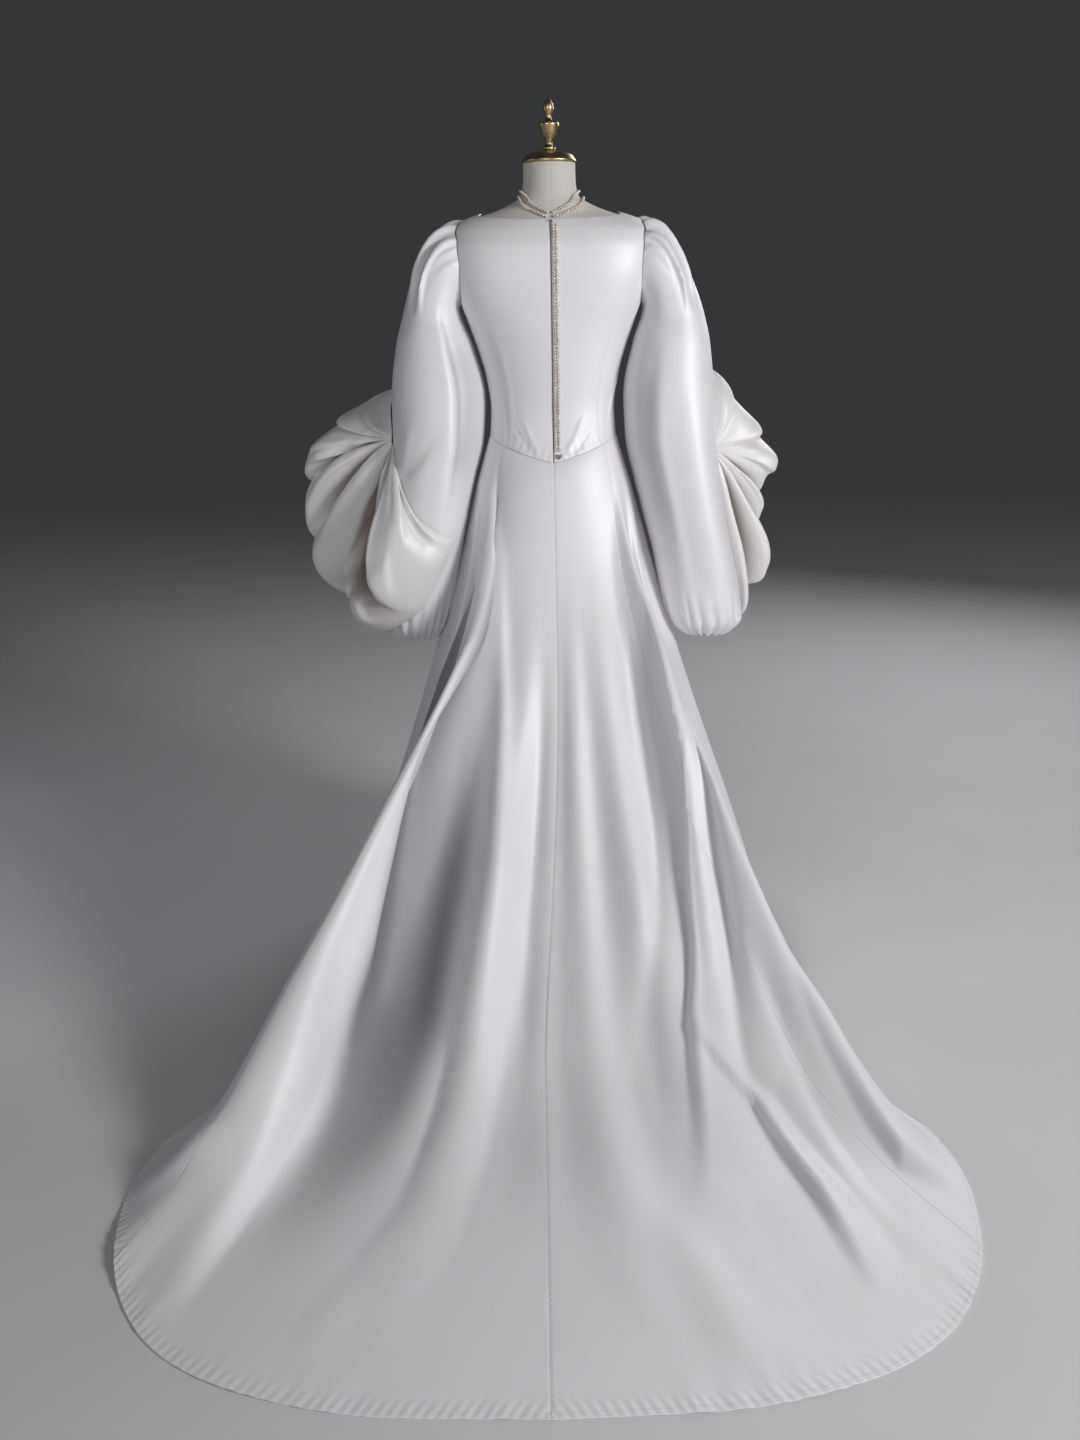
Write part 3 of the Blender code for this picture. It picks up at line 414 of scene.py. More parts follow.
# %% Lines of the skirt
# waist angle, hem half width, hem distance behind, lateness, share off the floor, landing
SKIRT_LINES = (
    (-90.0, 0.000, -0.430, 1.15, 1.00, 1.00),
    (-62.0, 0.225, -0.370, 1.15, 1.00, 1.00),
    (-32.0, 0.385, -0.190, 1.20, 1.00, 1.00),
    (-6.0, 0.445, 0.060, 1.25, 1.00, 1.00),
    (6.0, 0.470, 0.330, 1.30, 0.97, 1.05),
    (14.0, 0.500, 0.590, 1.35, 0.90, 1.15),
    (21.0, 0.560, 0.790, 1.40, 0.84, 1.25),
    (28.0, 0.622, 0.910, 1.45, 0.84, 1.30),
    (35.0, 0.640, 1.040, 1.45, 0.84, 1.30),
    (43.0, 0.615, 1.210, 1.50, 0.82, 1.35),
    (52.0, 0.535, 1.370, 1.50, 0.76, 1.40),
    (62.0, 0.400, 1.468, 1.50, 0.72, 1.40),
    (75.0, 0.215, 1.517, 1.50, 0.69, 1.40),
    (90.0, 0.000, 1.527, 1.50, 0.68, 1.40),
)
HIP_LEVEL = 0.88
# line, width in lines, further share off the floor, side
RIDGES = ((9.0, 1.1, 0.13, 1), (8.0, 1.0, 0.04, -1))
# the three deep folds of the solids: side, line at the top and at the end,
# width, push, where the fold starts, is deepest and ends
DEEP_FOLDS = (
    (1, 10.6, 10.9, 0.55, -0.030, 0.10, 0.45, 0.80),
    (1, 12.0, 12.0, 0.60, 0.018, 0.08, 0.40, 0.80),
    (-1, 11.5, 10.8, 0.50, 0.024, 0.12, 0.45, 0.85),
)


def landed(share):
    """A share of the height that bends softly on to the floor."""
    soft = (share + SOFT_LANDING) ** 2 / (4.0 * SOFT_LANDING)
    soft = np.where(share > SOFT_LANDING, share, soft)
    return np.where(share > -SOFT_LANDING, soft, 0.0)


def skirt_side(lines, shares, side):
    """Inner points of one half of the skirt before its folds."""
    keyed = [(number, *row) for number, row in enumerate(SKIRT_LINES)]
    angle, hem_out, hem_back, spread, reach, landing = np.moveaxis(eased(keyed, lines), -1, 0)
    for number, width, far, where in RIDGES:
        if where == side:
            crest = np.exp(-((lines - number) / width) ** 2)
            reach = reach + far * crest
            landing = landing - 0.25 * crest
    waist = waist_height(angle) - SEAM - 0.0002
    top = ring(waist, angle, 0.0) + ring_normal(waist, angle) * DRESS_EASE
    top[..., 0] = np.maximum(top[..., 0], 0.0)
    share = shares[:, None]
    across = (share ** spread[None, :])[..., None]
    plan = top[None, :, :2] * (1.0 - across) + np.stack([hem_out, hem_back], -1)[None] * across
    height = waist[None, :] * landed(1.0 - share / reach[None, :]) ** landing[None, :]
    points = np.concatenate([plan, height[..., None]], axis=-1)
    hips = ring(np.clip(height, HIP_LEVEL, None), angle[None, :], 0.0)
    least = np.hypot(hips[..., 0], hips[..., 1]) + DRESS_EASE + 0.0016
    reach = np.hypot(points[..., 0], points[..., 1])
    soft = 0.03 * np.clip((SIDE_WAIST - height) / 0.2, 0.0, 1.0)
    scale = 0.5 * (reach + least + np.sqrt((reach - least) ** 2 + soft ** 2)) / reach
    scale[0] = 1.0
    points[..., :2] *= scale[..., None]
    points[..., 0] *= side
    points[..., 0] += TRAIN_SHIFT * smooth(0.2, 0.8, points[..., 1])
    return points


print("train reaches", skirt_side(np.array([13.0]), np.array([1.0]), 1)[0, 0].round(3))

# %% [markdown]
# Satin this heavy makes few folds, but each is long. They start under the waist,
# deepen over the hips and open out flat on the train. The places were read off:
# skirt line against share of the way down. Small waves are added to the
# front and sides, which hang more freely.

# %% Folds of the skirt
LEFT_FOLDS = (
    (((0.02, 8.8), (0.28, 9.15), (0.38, 9.5), (0.46, 9.85), (0.52, 10.15), (0.58, 10.4),
      (0.66, 10.5), (0.98, 10.5)), 0.62, -0.074, -0.45),
    (((0.10, 9.9), (0.25, 10.9), (0.42, 11.6), (0.60, 11.9), (0.95, 11.7)), 0.52, 0.034, 0.0),
    (((0.16, 12.45), (0.45, 12.55), (0.60, 12.7), (0.95, 12.95)), 0.34, -0.024, 0.2),
    (((0.40, 8.7), (0.60, 9.05), (0.78, 9.4), (0.95, 9.9)), 0.30, 0.010, 0.4),
    (((0.02, 8.2), (0.20, 8.4), (0.45, 8.2), (0.70, 8.1)), 0.36, -0.012, 0.0),
    (((0.04, 6.2), (0.30, 6.6), (0.60, 6.9), (0.96, 7.2)), 0.45, -0.018, 0.3),
    (((0.08, 5.2), (0.40, 5.4), (0.92, 5.6)), 0.40, 0.014, 0.0),
    (((0.10, 4.2), (0.40, 4.3), (0.98, 4.3)), 0.36, -0.014, 0.2),
    (((0.06, 2.9), (0.50, 3.0), (1.00, 3.1)), 0.40, 0.014, 0.0),
    (((0.10, 1.8), (0.50, 1.9), (1.00, 2.0)), 0.36, -0.014, -0.2),
    (((0.05, 0.6), (0.50, 0.75), (1.00, 0.8)), 0.38, 0.010, 0.0),
    (((0.80, 11.6), (0.88, 11.4), (0.97, 11.3)), 0.20, 0.005, 0.0),
    (((0.66, 9.5), (0.82, 9.6), (0.99, 9.8)), 0.42, 0.022, 0.2),
    (((0.86, 9.0), (0.93, 8.6), (0.99, 8.2)), 0.26, 0.012, 0.4),
)
RIGHT_FOLDS = (
    (((0.12, 12.5), (0.30, 12.5), (0.50, 12.35), (0.95, 12.3)), 0.34, 0.016, 0.0),
    (((0.20, 9.6), (0.40, 10.3), (0.56, 11.3), (0.74, 11.9)), 0.30, -0.010, 0.0),
    (((0.22, 8.0), (0.42, 8.5), (0.48, 9.45), (0.59, 10.5), (0.80, 11.5)), 0.22, 0.022, 0.8),
    (((0.24, 7.6), (0.42, 8.1), (0.52, 8.9), (0.72, 10.2)), 0.30, -0.026, 0.3),
    (((0.58, 10.75), (0.71, 10.07), (0.83, 10.15), (0.94, 10.4)), 0.15, 0.018, 0.8),
    (((0.60, 10.35), (0.72, 9.75), (0.85, 9.80), (0.94, 9.9)), 0.18, -0.010, 0.2),
    (((0.62, 8.8), (0.74, 8.95), (0.84, 9.3), (0.92, 9.5)), 0.24, -0.012, 0.3),
    (((0.70, 7.9), (0.82, 8.2), (0.90, 8.5), (0.99, 8.1)), 0.30, 0.020, 0.6),
    (((0.04, 6.3), (0.30, 6.5), (0.60, 6.8), (0.96, 7.0)), 0.45, -0.018, 0.3),
    (((0.08, 5.3), (0.40, 5.3), (0.92, 5.5)), 0.40, 0.014, 0.0),
    (((0.10, 4.1), (0.40, 4.2), (0.98, 4.2)), 0.36, -0.014, 0.2),
    (((0.06, 3.0), (0.50, 3.1), (1.00, 3.2)), 0.40, 0.015, 0.0),
    (((0.10, 1.9), (0.50, 2.0), (1.00, 2.1)), 0.36, -0.013, -0.2),
    (((0.05, 0.8), (0.50, 0.9), (1.00, 1.0)), 0.38, 0.008, 0.0),
    (((0.80, 11.9), (0.90, 11.8), (0.99, 11.7)), 0.22, 0.005, 0.0),
)


def deep_folds(lines, shares, side):
    """Depths of the folds that the solids have too."""
    depth = np.zeros((len(shares), len(lines)))
    share = shares[:, None]
    for where, top, low, width, push, start, peak, end in DEEP_FOLDS:
        if where == side:
            line = top + (low - top) * np.clip((share - start) / (end - start), 0.0, 1.0)
            swell = smooth(start, peak, share) * (1.0 - smooth(peak, end, share))
            depth += push * swell * np.exp(-((lines[None, :] - line) / width) ** 2)
    return depth


def hem_waves(lines, shares, side):
    """Low waves and small puckers that grow towards the hem."""
    line, share = lines[None, :], shares[:, None]
    wave = np.sin(2.9 * line + 0.8 * side) + 0.6 * np.sin(6.7 * line + 1.9 * side + 3.0 * share)
    near = smooth(0.25, 0.85, share)
    pucker = np.sin(31.0 * line + 4.0 * np.sin(2.3 * line)) * smooth(0.955, 0.995, share)
    return 0.0009 * wave * near + 0.0011 * pucker


def skirt_half(side, table, lines, shares):
    """Inner and outer points of one half of the skirt with all its folds, and the
    painted shade that darkens each point deep in the troughs."""
    points = skirt_side(lines, shares, side)
    normal = normals(points, False)
    if np.mean(normal[..., 2]) < 0.0:
        normal = -normal
    depth = deep_folds(lines, shares, side) + fold_depths(lines[None, :], shares[:, None], table)
    depth += hem_waves(lines, shares, side)
    depth *= smooth(0.0, 0.05, shares)[:, None]
    # painted shade: the colour darkens in the troughs of the folds, less towards the hem
    painted_fold_shade = smooth(0.003, 0.064, -depth) * (1.0 - 0.4 * smooth(0.5, 1.0, shares))[:, None]
    depth = np.where(depth < 0.0, depth * smooth(0.0, 0.16, points[..., 2]), depth)
    depth *= (0.35 + 0.65 * np.minimum(smooth(0.0, 0.5, lines), smooth(13.0, 12.6, lines)))[None, :]
    points = points + normal * depth[..., None]
    points[..., 2] = np.maximum(points[..., 2], 0.0)
    for edge in (0, -1):
        points[:, edge, 0] = TRAIN_SHIFT * smooth(0.2, 0.8, points[:, edge, 1])
    normal = normals(points, False)
    if np.mean(normal[..., 2]) < 0.0:
        normal = -normal
    normal[:, (0, -1), 0] = 0.0
    normal /= np.linalg.norm(normal, axis=-1, keepdims=True)
    outer = points + normal * CLOTH
    outer[..., 2] = np.maximum(outer[..., 2], points[..., 2] + 0.0004)
    return points, outer, painted_fold_shade


PER_LINE = 14
lines = np.linspace(0.0, 13.0, 13 * PER_LINE + 1)
shares = np.concatenate([np.linspace(0.0, 0.06, 9)[:-1], np.linspace(0.06, 1.0, 190)])
halves = {1: skirt_half(1, LEFT_FOLDS, lines, shares), -1: skirt_half(-1, RIGHT_FOLDS, lines, shares)}
print("skirt grid:", halves[1][0].shape)

# %% [markdown]
# The one surface is now cut into the panels a maker would cut: a front, two side
# gores and two backs that meet in the middle of the train. The edges draw back by
# half a seam each, so a fine line shows where two panels are joined.

# %% Cut the skirt into its panels
for side, word in ((1, "left"), (-1, "right")):
    for part, span in (("side", slice(4 * PER_LINE, 9 * PER_LINE + 1)),
                       ("back", slice(9 * PER_LINE, 13 * PER_LINE + 1))):
        inner, outer, painted_fold_shade = (grid[:, span] for grid in halves[side])
        panel(f"skirt_{part}_panel_{word}", drawn_back(outer), drawn_back(inner),
              stands_for=[f"skirt_{part}_{word}"], painted_fold_shade=painted_fold_shade)
span = slice(0, 4 * PER_LINE + 1)
front = [np.concatenate([right[:, span][:, ::-1], left[:, span][:, 1:]], axis=1)
         for left, right in zip(halves[1], halves[-1])]
panel("skirt_front_panel", drawn_back(front[1]), drawn_back(front[0]),
      stands_for=["skirt_front"], painted_fold_shade=front[2])

# %% [markdown]
# ## The sleeves
# A balloon sleeve is wider than its armhole, so its head is gathered. From there
# it hangs almost straight, and turns in at the wrist. Sections at a few heights
# say how near to the body and how far out it hangs on each side.

# %% Sections of the sleeves
# height, near and far on the left, near and far on the right, half depth, middle
SLEEVE_LEVELS = (
    (0.640, 0.242, 0.330, 0.262, 0.362, 0.060, 0.000),
    (0.665, 0.224, 0.350, 0.234, 0.384, 0.088, 0.000),
    (0.720, 0.206, 0.358, 0.216, 0.380, 0.104, 0.000),
    (0.800, 0.192, 0.348, 0.203, 0.364, 0.112, 0.002),
    (0.880, 0.176, 0.336, 0.182, 0.348, 0.116, 0.004),
    (0.960, 0.157, 0.326, 0.161, 0.336, 0.117, 0.005),
    (1.040, 0.138, 0.321, 0.145, 0.326, 0.114, 0.005),
    (1.120, 0.133, 0.320, 0.142, 0.322, 0.106, 0.004),
    (1.225, 0.157, 0.307, 0.162, 0.312, 0.088, 0.002),
    (1.262, 0.172, 0.297, 0.175, 0.304, 0.080, 0.000),
)
SLEEVE_SQUARENESS = 2.3
HEAD_LEVEL = 1.262
HEAD_START = {1: (0.225, 0.030), -1: (0.140, 0.080)}   # how far out and up the head starts


def sleeve_section(height, angle, side):
    """Outer points and normals of the hanging part; 0 degrees is away from the
    body and 90 the back."""
    height, angle = np.broadcast_arrays(np.asarray(height, float), np.asarray(angle, float))
    level = eased(SLEEVE_LEVELS, height)
    near, far = (level[..., 0], level[..., 1]) if side > 0 else (level[..., 2], level[..., 3])
    half, middle = 0.5 * (far - near), 0.5 * (far + near)
    cosine, sine = np.cos(np.radians(angle)), np.sin(np.radians(angle))
    power = 2.0 / SLEEVE_SQUARENESS
    x = middle + half * np.sign(cosine) * np.abs(cosine) ** power
    y = level[..., 5] + level[..., 4] * np.sign(sine) * np.abs(sine) ** power
    normal = np.stack([cosine / half, sine / level[..., 4], np.zeros_like(x)], axis=-1)
    normal /= np.linalg.norm(normal, axis=-1, keepdims=True)
    return np.stack([side * x, y, height], axis=-1), normal * np.array([side, 1.0, 1.0])


def armhole_rim(angle):
    """Where the sleeve meets the bodice, on the wearer's left."""
    middle, half = 0.5 * (UNDERARM + SHOULDER_TIP), 0.5 * (SHOULDER_TIP - UNDERARM)
    share = (middle + half * np.cos(np.radians(angle)) - SIDE_WAIST) / (NECK_CORNER - SIDE_WAIST)
    rim = []
    for one, turn in zip(share, angle):
        front = math.sin(math.radians(turn)) < 0.0
        height, edge = bodice_places(one, 0.0, front)
        rim.append(ring(height, edge, 0.0)
                   + ring_normal(height, edge) * (ease_at(height) + CLOTH + 0.0004))
    rim = np.array(rim)
    rim[:, 0] += SEAM + 0.0003 + 0.0022 * np.clip(np.cos(np.radians(angle)), 0.0, 1.0)
    return rim


# ((height from the top as a share, angle) ...), width in degrees, push, lean
SLEEVE_FOLDS = {
    1: (
        (((0.00, 44.0), (0.06, 50.0), (0.14, 58.0)), 6.0, -0.0150, 0.5),
        (((0.00, 56.0), (0.06, 63.0), (0.14, 72.0)), 5.0, 0.0090, 0.6),
        (((0.00, 30.0), (0.06, 35.0), (0.13, 40.0)), 5.0, 0.0080, 0.3),
        (((0.00, 18.0), (0.06, 22.0), (0.12, 28.0)), 6.0, -0.0120, 0.3),
        (((0.01, -28.0), (0.09, -34.0), (0.18, -44.0)), 10.0, -0.0090, 0.3),
        (((0.01, -60.0), (0.09, -66.0), (0.17, -76.0)), 10.0, -0.0080, 0.3),
        (((0.01, 0.0), (0.08, 0.0), (0.14, 2.0)), 10.0, -0.0060, 0.0),
        (((0.10, 114.0), (0.30, 120.0), (0.52, 122.0), (0.66, 126.0)), 13.0, -0.0110, -0.7),
        (((0.12, 100.0), (0.40, 103.0), (0.60, 105.0)), 12.0, 0.0030, 0.4),
        (((0.20, -110.0), (0.42, -118.0), (0.70, -122.0)), 20.0, -0.0090, 0.4),
        (((0.40, 60.0), (0.50, 48.0), (0.56, 34.0)), 10.0, 0.0030, 0.4),
        (((0.42, 92.0), (0.50, 70.0), (0.55, 46.0)), 9.0, -0.0030, 0.4),
    ),
    -1: (
        (((0.00, 38.0), (0.06, 46.0), (0.14, 54.0)), 6.0, -0.0150, 0.5),
        (((0.00, 52.0), (0.06, 60.0), (0.14, 70.0)), 5.0, 0.0090, 0.6),
        (((0.00, 24.0), (0.06, 30.0), (0.12, 36.0)), 5.0, 0.0080, 0.3),
        (((0.00, 12.0), (0.06, 18.0), (0.12, 26.0)), 6.0, -0.0120, 0.3),
        (((0.01, -30.0), (0.09, -36.0), (0.18, -46.0)), 10.0, -0.0090, 0.3),
        (((0.01, -62.0), (0.09, -68.0), (0.17, -78.0)), 10.0, -0.0080, 0.3),
        (((0.01, -4.0), (0.08, -4.0), (0.14, -2.0)), 10.0, -0.0060, 0.0),
        (((0.20, 120.0), (0.45, 124.0), (0.75, 122.0)), 18.0, -0.0080, -0.5),
        (((0.30, 60.0), (0.55, 58.0), (0.90, 56.0)), 22.0, 0.0050, 0.0),
        (((0.30, 92.0), (0.60, 92.0), (0.96, 94.0)), 14.0, -0.0050, 0.3),
        (((0.20, -110.0), (0.42, -118.0), (0.70, -122.0)), 20.0, -0.0090, 0.4),
        (((0.44, 30.0), (0.52, 22.0), (0.60, 4.0)), 9.0, -0.0040, 0.4),
    ),
}
CUFF_GATHERS = 22


def sleeve_surface(side):
    """Outer grid of a sleeve, from its head to the turned-in wrist."""
    angles = np.arange(-180.0, 180.0, 2.5)
    rim = armhole_rim(angles) * np.array([side, 1.0, 1.0])
    low, _ = sleeve_section(HEAD_LEVEL, angles, side)
    below, _ = sleeve_section(HEAD_LEVEL - 0.01, angles, side)
    up = 0.5 + 0.5 * np.cos(np.radians(angles))
    out, lift = HEAD_START[side]
    start = np.stack([side * (0.020 + out * up), 0.05 * np.sin(np.radians(angles)),
                      lift * up - 0.012], axis=-1)
    finish = (below - low) / 0.01 * (0.045 + 0.150 * up)[:, None]
    rows = [rim * (1 + 2 * t) * (1 - t) ** 2 + start * t * (1 - t) ** 2
            + low * t * t * (3 - 2 * t) - finish * t * t * (1 - t)
            for t in np.linspace(0.0, 1.0, 34)[:-1]]
    rows += [sleeve_section(height, angles, side)[0] for height in np.linspace(HEAD_LEVEL, 0.64, 96)]
    bottom = rows[-1]
    middle = bottom.mean(axis=0)
    for share in np.linspace(0.12, 1.0, 9):
        rise = -0.0045 * math.sin(math.pi * min(1.0, share * 1.25)) + 0.004 * share * share
        rows.append(middle + (bottom - middle) * (1.0 - 0.5 * share) + np.array([0, 0, rise]))
    return np.array(rows), angles


def gathered_head(share, angles):
    """Fine gathers where the sleeve's head is drawn on to the armhole."""
    over = smooth(105.0, 60.0, np.abs(angles))[None, :]
    wave = np.sin(np.radians(angles) * 17.0 + 0.7 * np.sin(np.radians(angles) * 5.0))[None, :]
    return 0.0022 * wave * over * smooth(0.085, 0.02, share)[:, None] * smooth(0.0, 0.01, share)[:, None]


def cuff_gathers(share, angles):
    """Gathers that run up from the wrist."""
    wave = np.sin(np.radians(angles) * CUFF_GATHERS + 1.3 * np.sin(np.radians(angles) * 3.0))
    return 0.0034 * wave[None, :] * smooth(0.80, 0.95, share)[:, None]


for side, word in ((1, "left"), (-1, "right")):
    outer, angles = sleeve_surface(side)
    drop = np.linalg.norm(np.diff(outer, axis=0), axis=-1).mean(axis=1)
    share = np.concatenate([[0.0], np.cumsum(drop)]) / drop.sum()
    depth = fold_depths(angles[None, :], share[:, None], SLEEVE_FOLDS[side])
    depth += gathered_head(share, angles) + cuff_gathers(share, angles)
    outer = outer + turned_out(normals(outer, True), outer) * depth[..., None]
    normal = turned_out(normals(outer, True), outer)
    rim = outer[0]
    flat = (rim - rim.mean(axis=0)) * np.array([0.0, 1.0, 1.0])
    normal[0] = flat / np.linalg.norm(flat, axis=-1, keepdims=True)
    # the last grid is painted shade: the colour darkens in the sleeve's troughs
    panel("sleeve_panel_" + word, outer, outer - normal * CLOTH, True, ["sleeve_" + word],
          smooth(0.001, 0.020, -depth))

# %% [markdown]
# ## The puffs
# Over each forearm a second layer is caught at one point and stands out as a big
# soft puff. Its lobes fan out from that point, each one a hump of cloth that is
# sewn down again on the sleeve. The table gives each lobe's fullest place.

# %% Lobes of the puffs
PUFF_SEAT = 0.0027
PUFF_FAR_SEAT = 0.0065
PUFF_FULLNESS = 0.80
PUFF_FORWARD = 0.0750
PUFF_TURN = -14.0
GATHER = {1: (16.0, 1.045), -1: (-14.0, 1.005)}
# direction, sewn down at angle and height, fullest at distance, Y and height, fullness
PUFF_LOBES = {
    1: (
        (-176.0, -30.0, 1.150, 0.330, 0.000, 1.110, 0.00),
        (-150.0, -70.0, 1.140, 0.376, -0.020, 1.108, 0.90),
        (-109.0, -90.0, 1.100, 0.436, -0.030, 1.078, 1.00),
        (-72.0, -97.0, 1.000, 0.508, -0.030, 0.985, 1.00),
        (-50.0, -100.0, 0.900, 0.522, -0.030, 0.885, 1.00),
        (-33.0, -98.0, 0.790, 0.510, -0.015, 0.785, 1.00),
        (-21.0, -86.0, 0.725, 0.454, 0.005, 0.735, 1.00),
        (-12.0, -55.0, 0.668, 0.434, 0.085, 0.775, 1.00),
        (6.0, 25.0, 0.654, 0.412, 0.115, 0.775, 1.00),
        (22.0, 89.0, 0.697, 0.372, 0.136, 0.800, 1.00),
        (38.0, 120.0, 0.789, 0.300, 0.146, 0.862, 1.00),
        (50.0, 133.0, 0.855, 0.260, 0.130, 0.900, 0.00),
    ),
    -1: (
        (-176.0, -40.0, 1.178, 0.322, -0.030, 1.130, 0.00),
        (-150.0, -75.0, 1.170, 0.352, -0.050, 1.134, 0.95),
        (-120.0, -90.0, 1.130, 0.402, -0.060, 1.080, 1.00),
        (-88.0, -97.0, 1.030, 0.460, -0.060, 0.985, 1.00),
        (-66.0, -99.0, 0.950, 0.436, -0.060, 0.915, 1.00),
        (-45.0, -98.0, 0.870, 0.442, -0.060, 0.850, 1.00),
        (-25.0, -95.0, 0.780, 0.452, -0.055, 0.740, 1.00),
        (-5.0, -80.0, 0.700, 0.402, -0.040, 0.690, 1.00),
        (10.0, -40.0, 0.655, 0.365, -0.030, 0.700, 0.00),
    ),
}
# valleys: ((share along, direction, depth as a share of the lobe) ...), width on
# the two sides in degrees, and a power: near 1 is a sharp crease, 4 a hollow
PUFF_VALLEYS = {
    1: (
        (((0.03, -126.0, 0.10), (0.30, -134.0, 0.14), (1.0, -140.0, 0.02)), 8.0, 8.0, 1.6),
        (((0.03, -96.0, 0.16), (0.20, -101.0, 0.34), (0.48, -104.0, 0.12), (1.0, -106.0, 0.02)),
         2.6, 8.0, 1.1),
        (((0.03, -76.0, 0.24), (0.16, -77.0, 0.52), (0.30, -67.0, 0.52), (0.42, -63.0, 0.14),
          (1.0, -60.0, 0.03)), 2.4, 8.0, 1.1),
        (((0.03, -56.0, 0.28), (0.14, -49.0, 0.52), (0.30, -45.0, 0.46), (0.46, -41.0, 0.14),
          (1.0, -40.0, 0.04)), 2.6, 7.0, 1.1),
        (((0.03, -24.0, 0.05), (0.30, -24.0, 0.10), (0.55, -22.0, 0.26), (1.0, -22.0, 0.14)),
         3.5, 6.0, 1.5),
        (((0.03, 0.0, 0.26), (0.12, -2.0, 0.60), (0.30, -3.0, 0.78), (0.44, -1.0, 0.74),
          (0.60, 2.0, 0.20), (1.0, 2.0, 0.02)), 15.0, 14.0, 4.6),
        (((0.03, 32.0, 0.30), (0.11, 29.0, 0.66), (0.20, 25.0, 0.82), (0.38, 18.5, 0.86),
          (0.50, 17.0, 0.70), (0.66, 20.0, 0.46), (1.0, 24.0, 0.16)), 9.0, 2.2, 1.8),
    ),
    -1: (
        (((0.03, -138.0, 0.10), (0.30, -132.0, 0.14), (1.0, -130.0, 0.02)), 7.0, 8.0, 1.6),
        (((0.03, -112.0, 0.14), (0.25, -102.0, 0.24), (0.60, -98.0, 0.06), (1.0, -96.0, 0.02)),
         5.0, 6.0, 1.4),
        (((0.03, -70.0, 0.24), (0.25, -63.0, 0.44), (0.55, -60.0, 0.20), (1.0, -60.0, 0.04)),
         3.0, 7.0, 1.2),
        (((0.03, -40.0, 0.16), (0.25, -40.0, 0.34), (0.60, -42.0, 0.14), (1.0, -44.0, 0.02)),
         3.0, 6.0, 1.2),
        (((0.03, -24.0, 0.26), (0.15, -20.0, 0.56), (0.34, -17.0, 0.66), (0.60, -18.0, 0.44),
          (1.0, -20.0, 0.12)), 4.0, 8.0, 1.8),
    ),
}
# folds along the lobes: ((share along, direction) ...), width, push, lean
PUFF_FOLDS = {
    1: (
        (((0.04, 43.0), (0.24, 42.0), (0.40, 40.0), (0.60, 37.0)), 2.2, 0.0080, 0.8),
        (((0.06, 30.5), (0.20, 27.5), (0.38, 21.5), (0.52, 20.0)), 1.6, 0.0060, 0.0),
        (((0.04, 39.0), (0.24, 37.0), (0.40, 35.0)), 2.4, -0.0030, 0.0),
        (((0.50, 31.0), (0.64, 28.0), (0.78, 26.0)), 2.8, 0.0060, 0.8),
        (((0.06, 47.4), (0.40, 47.6), (0.80, 47.4), (0.97, 46.5)), 1.5, 0.0075, 0.0),
        (((0.06, 45.0), (0.40, 45.2), (0.80, 44.8)), 1.3, -0.0050, 0.0),
        (((0.08, -10.0), (0.20, -19.0), (0.40, -20.0), (0.56, -22.0)), 2.6, 0.0120, 0.6),
        (((0.10, -58.0), (0.26, -54.0), (0.40, -50.0)), 3.0, 0.0110, 0.7),
        (((0.10, -81.0), (0.24, -74.0), (0.38, -70.0)), 2.4, 0.0090, 0.5),
        (((0.10, -90.0), (0.25, -86.0), (0.45, -84.0)), 6.0, 0.0060, 0.6),
        (((0.40, -52.0), (0.60, -50.0), (0.82, -49.0)), 5.0, -0.0060, 0.5),
        (((0.50, -72.0), (0.70, -74.0), (0.92, -78.0)), 6.0, -0.0060, 0.3),
        (((0.56, 6.0), (0.70, 8.0), (0.84, 12.0)), 4.0, 0.0070, 0.6),
        (((0.60, -12.0), (0.75, -12.0), (0.92, -14.0)), 4.0, -0.0060, 0.4),
        (((0.06, 20.0), (0.16, 12.0), (0.28, 8.0)), 3.0, 0.0050, 0.6),
    ),
    -1: (
        (((0.10, -84.0), (0.30, -80.0), (0.50, -78.0)), 4.0, 0.0100, 0.6),
        (((0.10, -52.0), (0.30, -50.0), (0.55, -50.0)), 3.0, 0.0090, 0.5),
        (((0.20, -30.0), (0.50, -30.0), (0.75, -31.0)), 3.0, 0.0090, 0.6),
        (((0.15, -8.0), (0.40, -6.0), (0.70, -4.0)), 3.0, 0.0090, 0.5),
        (((0.50, -70.0), (0.70, -72.0), (0.92, -74.0)), 6.0, -0.0060, 0.3),
        (((0.45, -110.0), (0.65, -112.0), (0.90, -114.0)), 8.0, -0.0060, 0.3),
    ),
}


def left_standing(directions, shares, side):
    """What share of its fullness the puff keeps at each point beside the valleys."""
    kept = np.ones((len(shares), len(directions)))
    for path_down, low, high, power in PUFF_VALLEYS[side]:
        way, depth = np.moveaxis(eased(path_down, shares), -1, 0)[..., None]
        aside = directions[None, :] - way
        width = np.where(aside < 0.0, low, high)
        kept *= 1.0 - depth * np.exp(-(np.abs(aside) / width) ** power)
    return kept


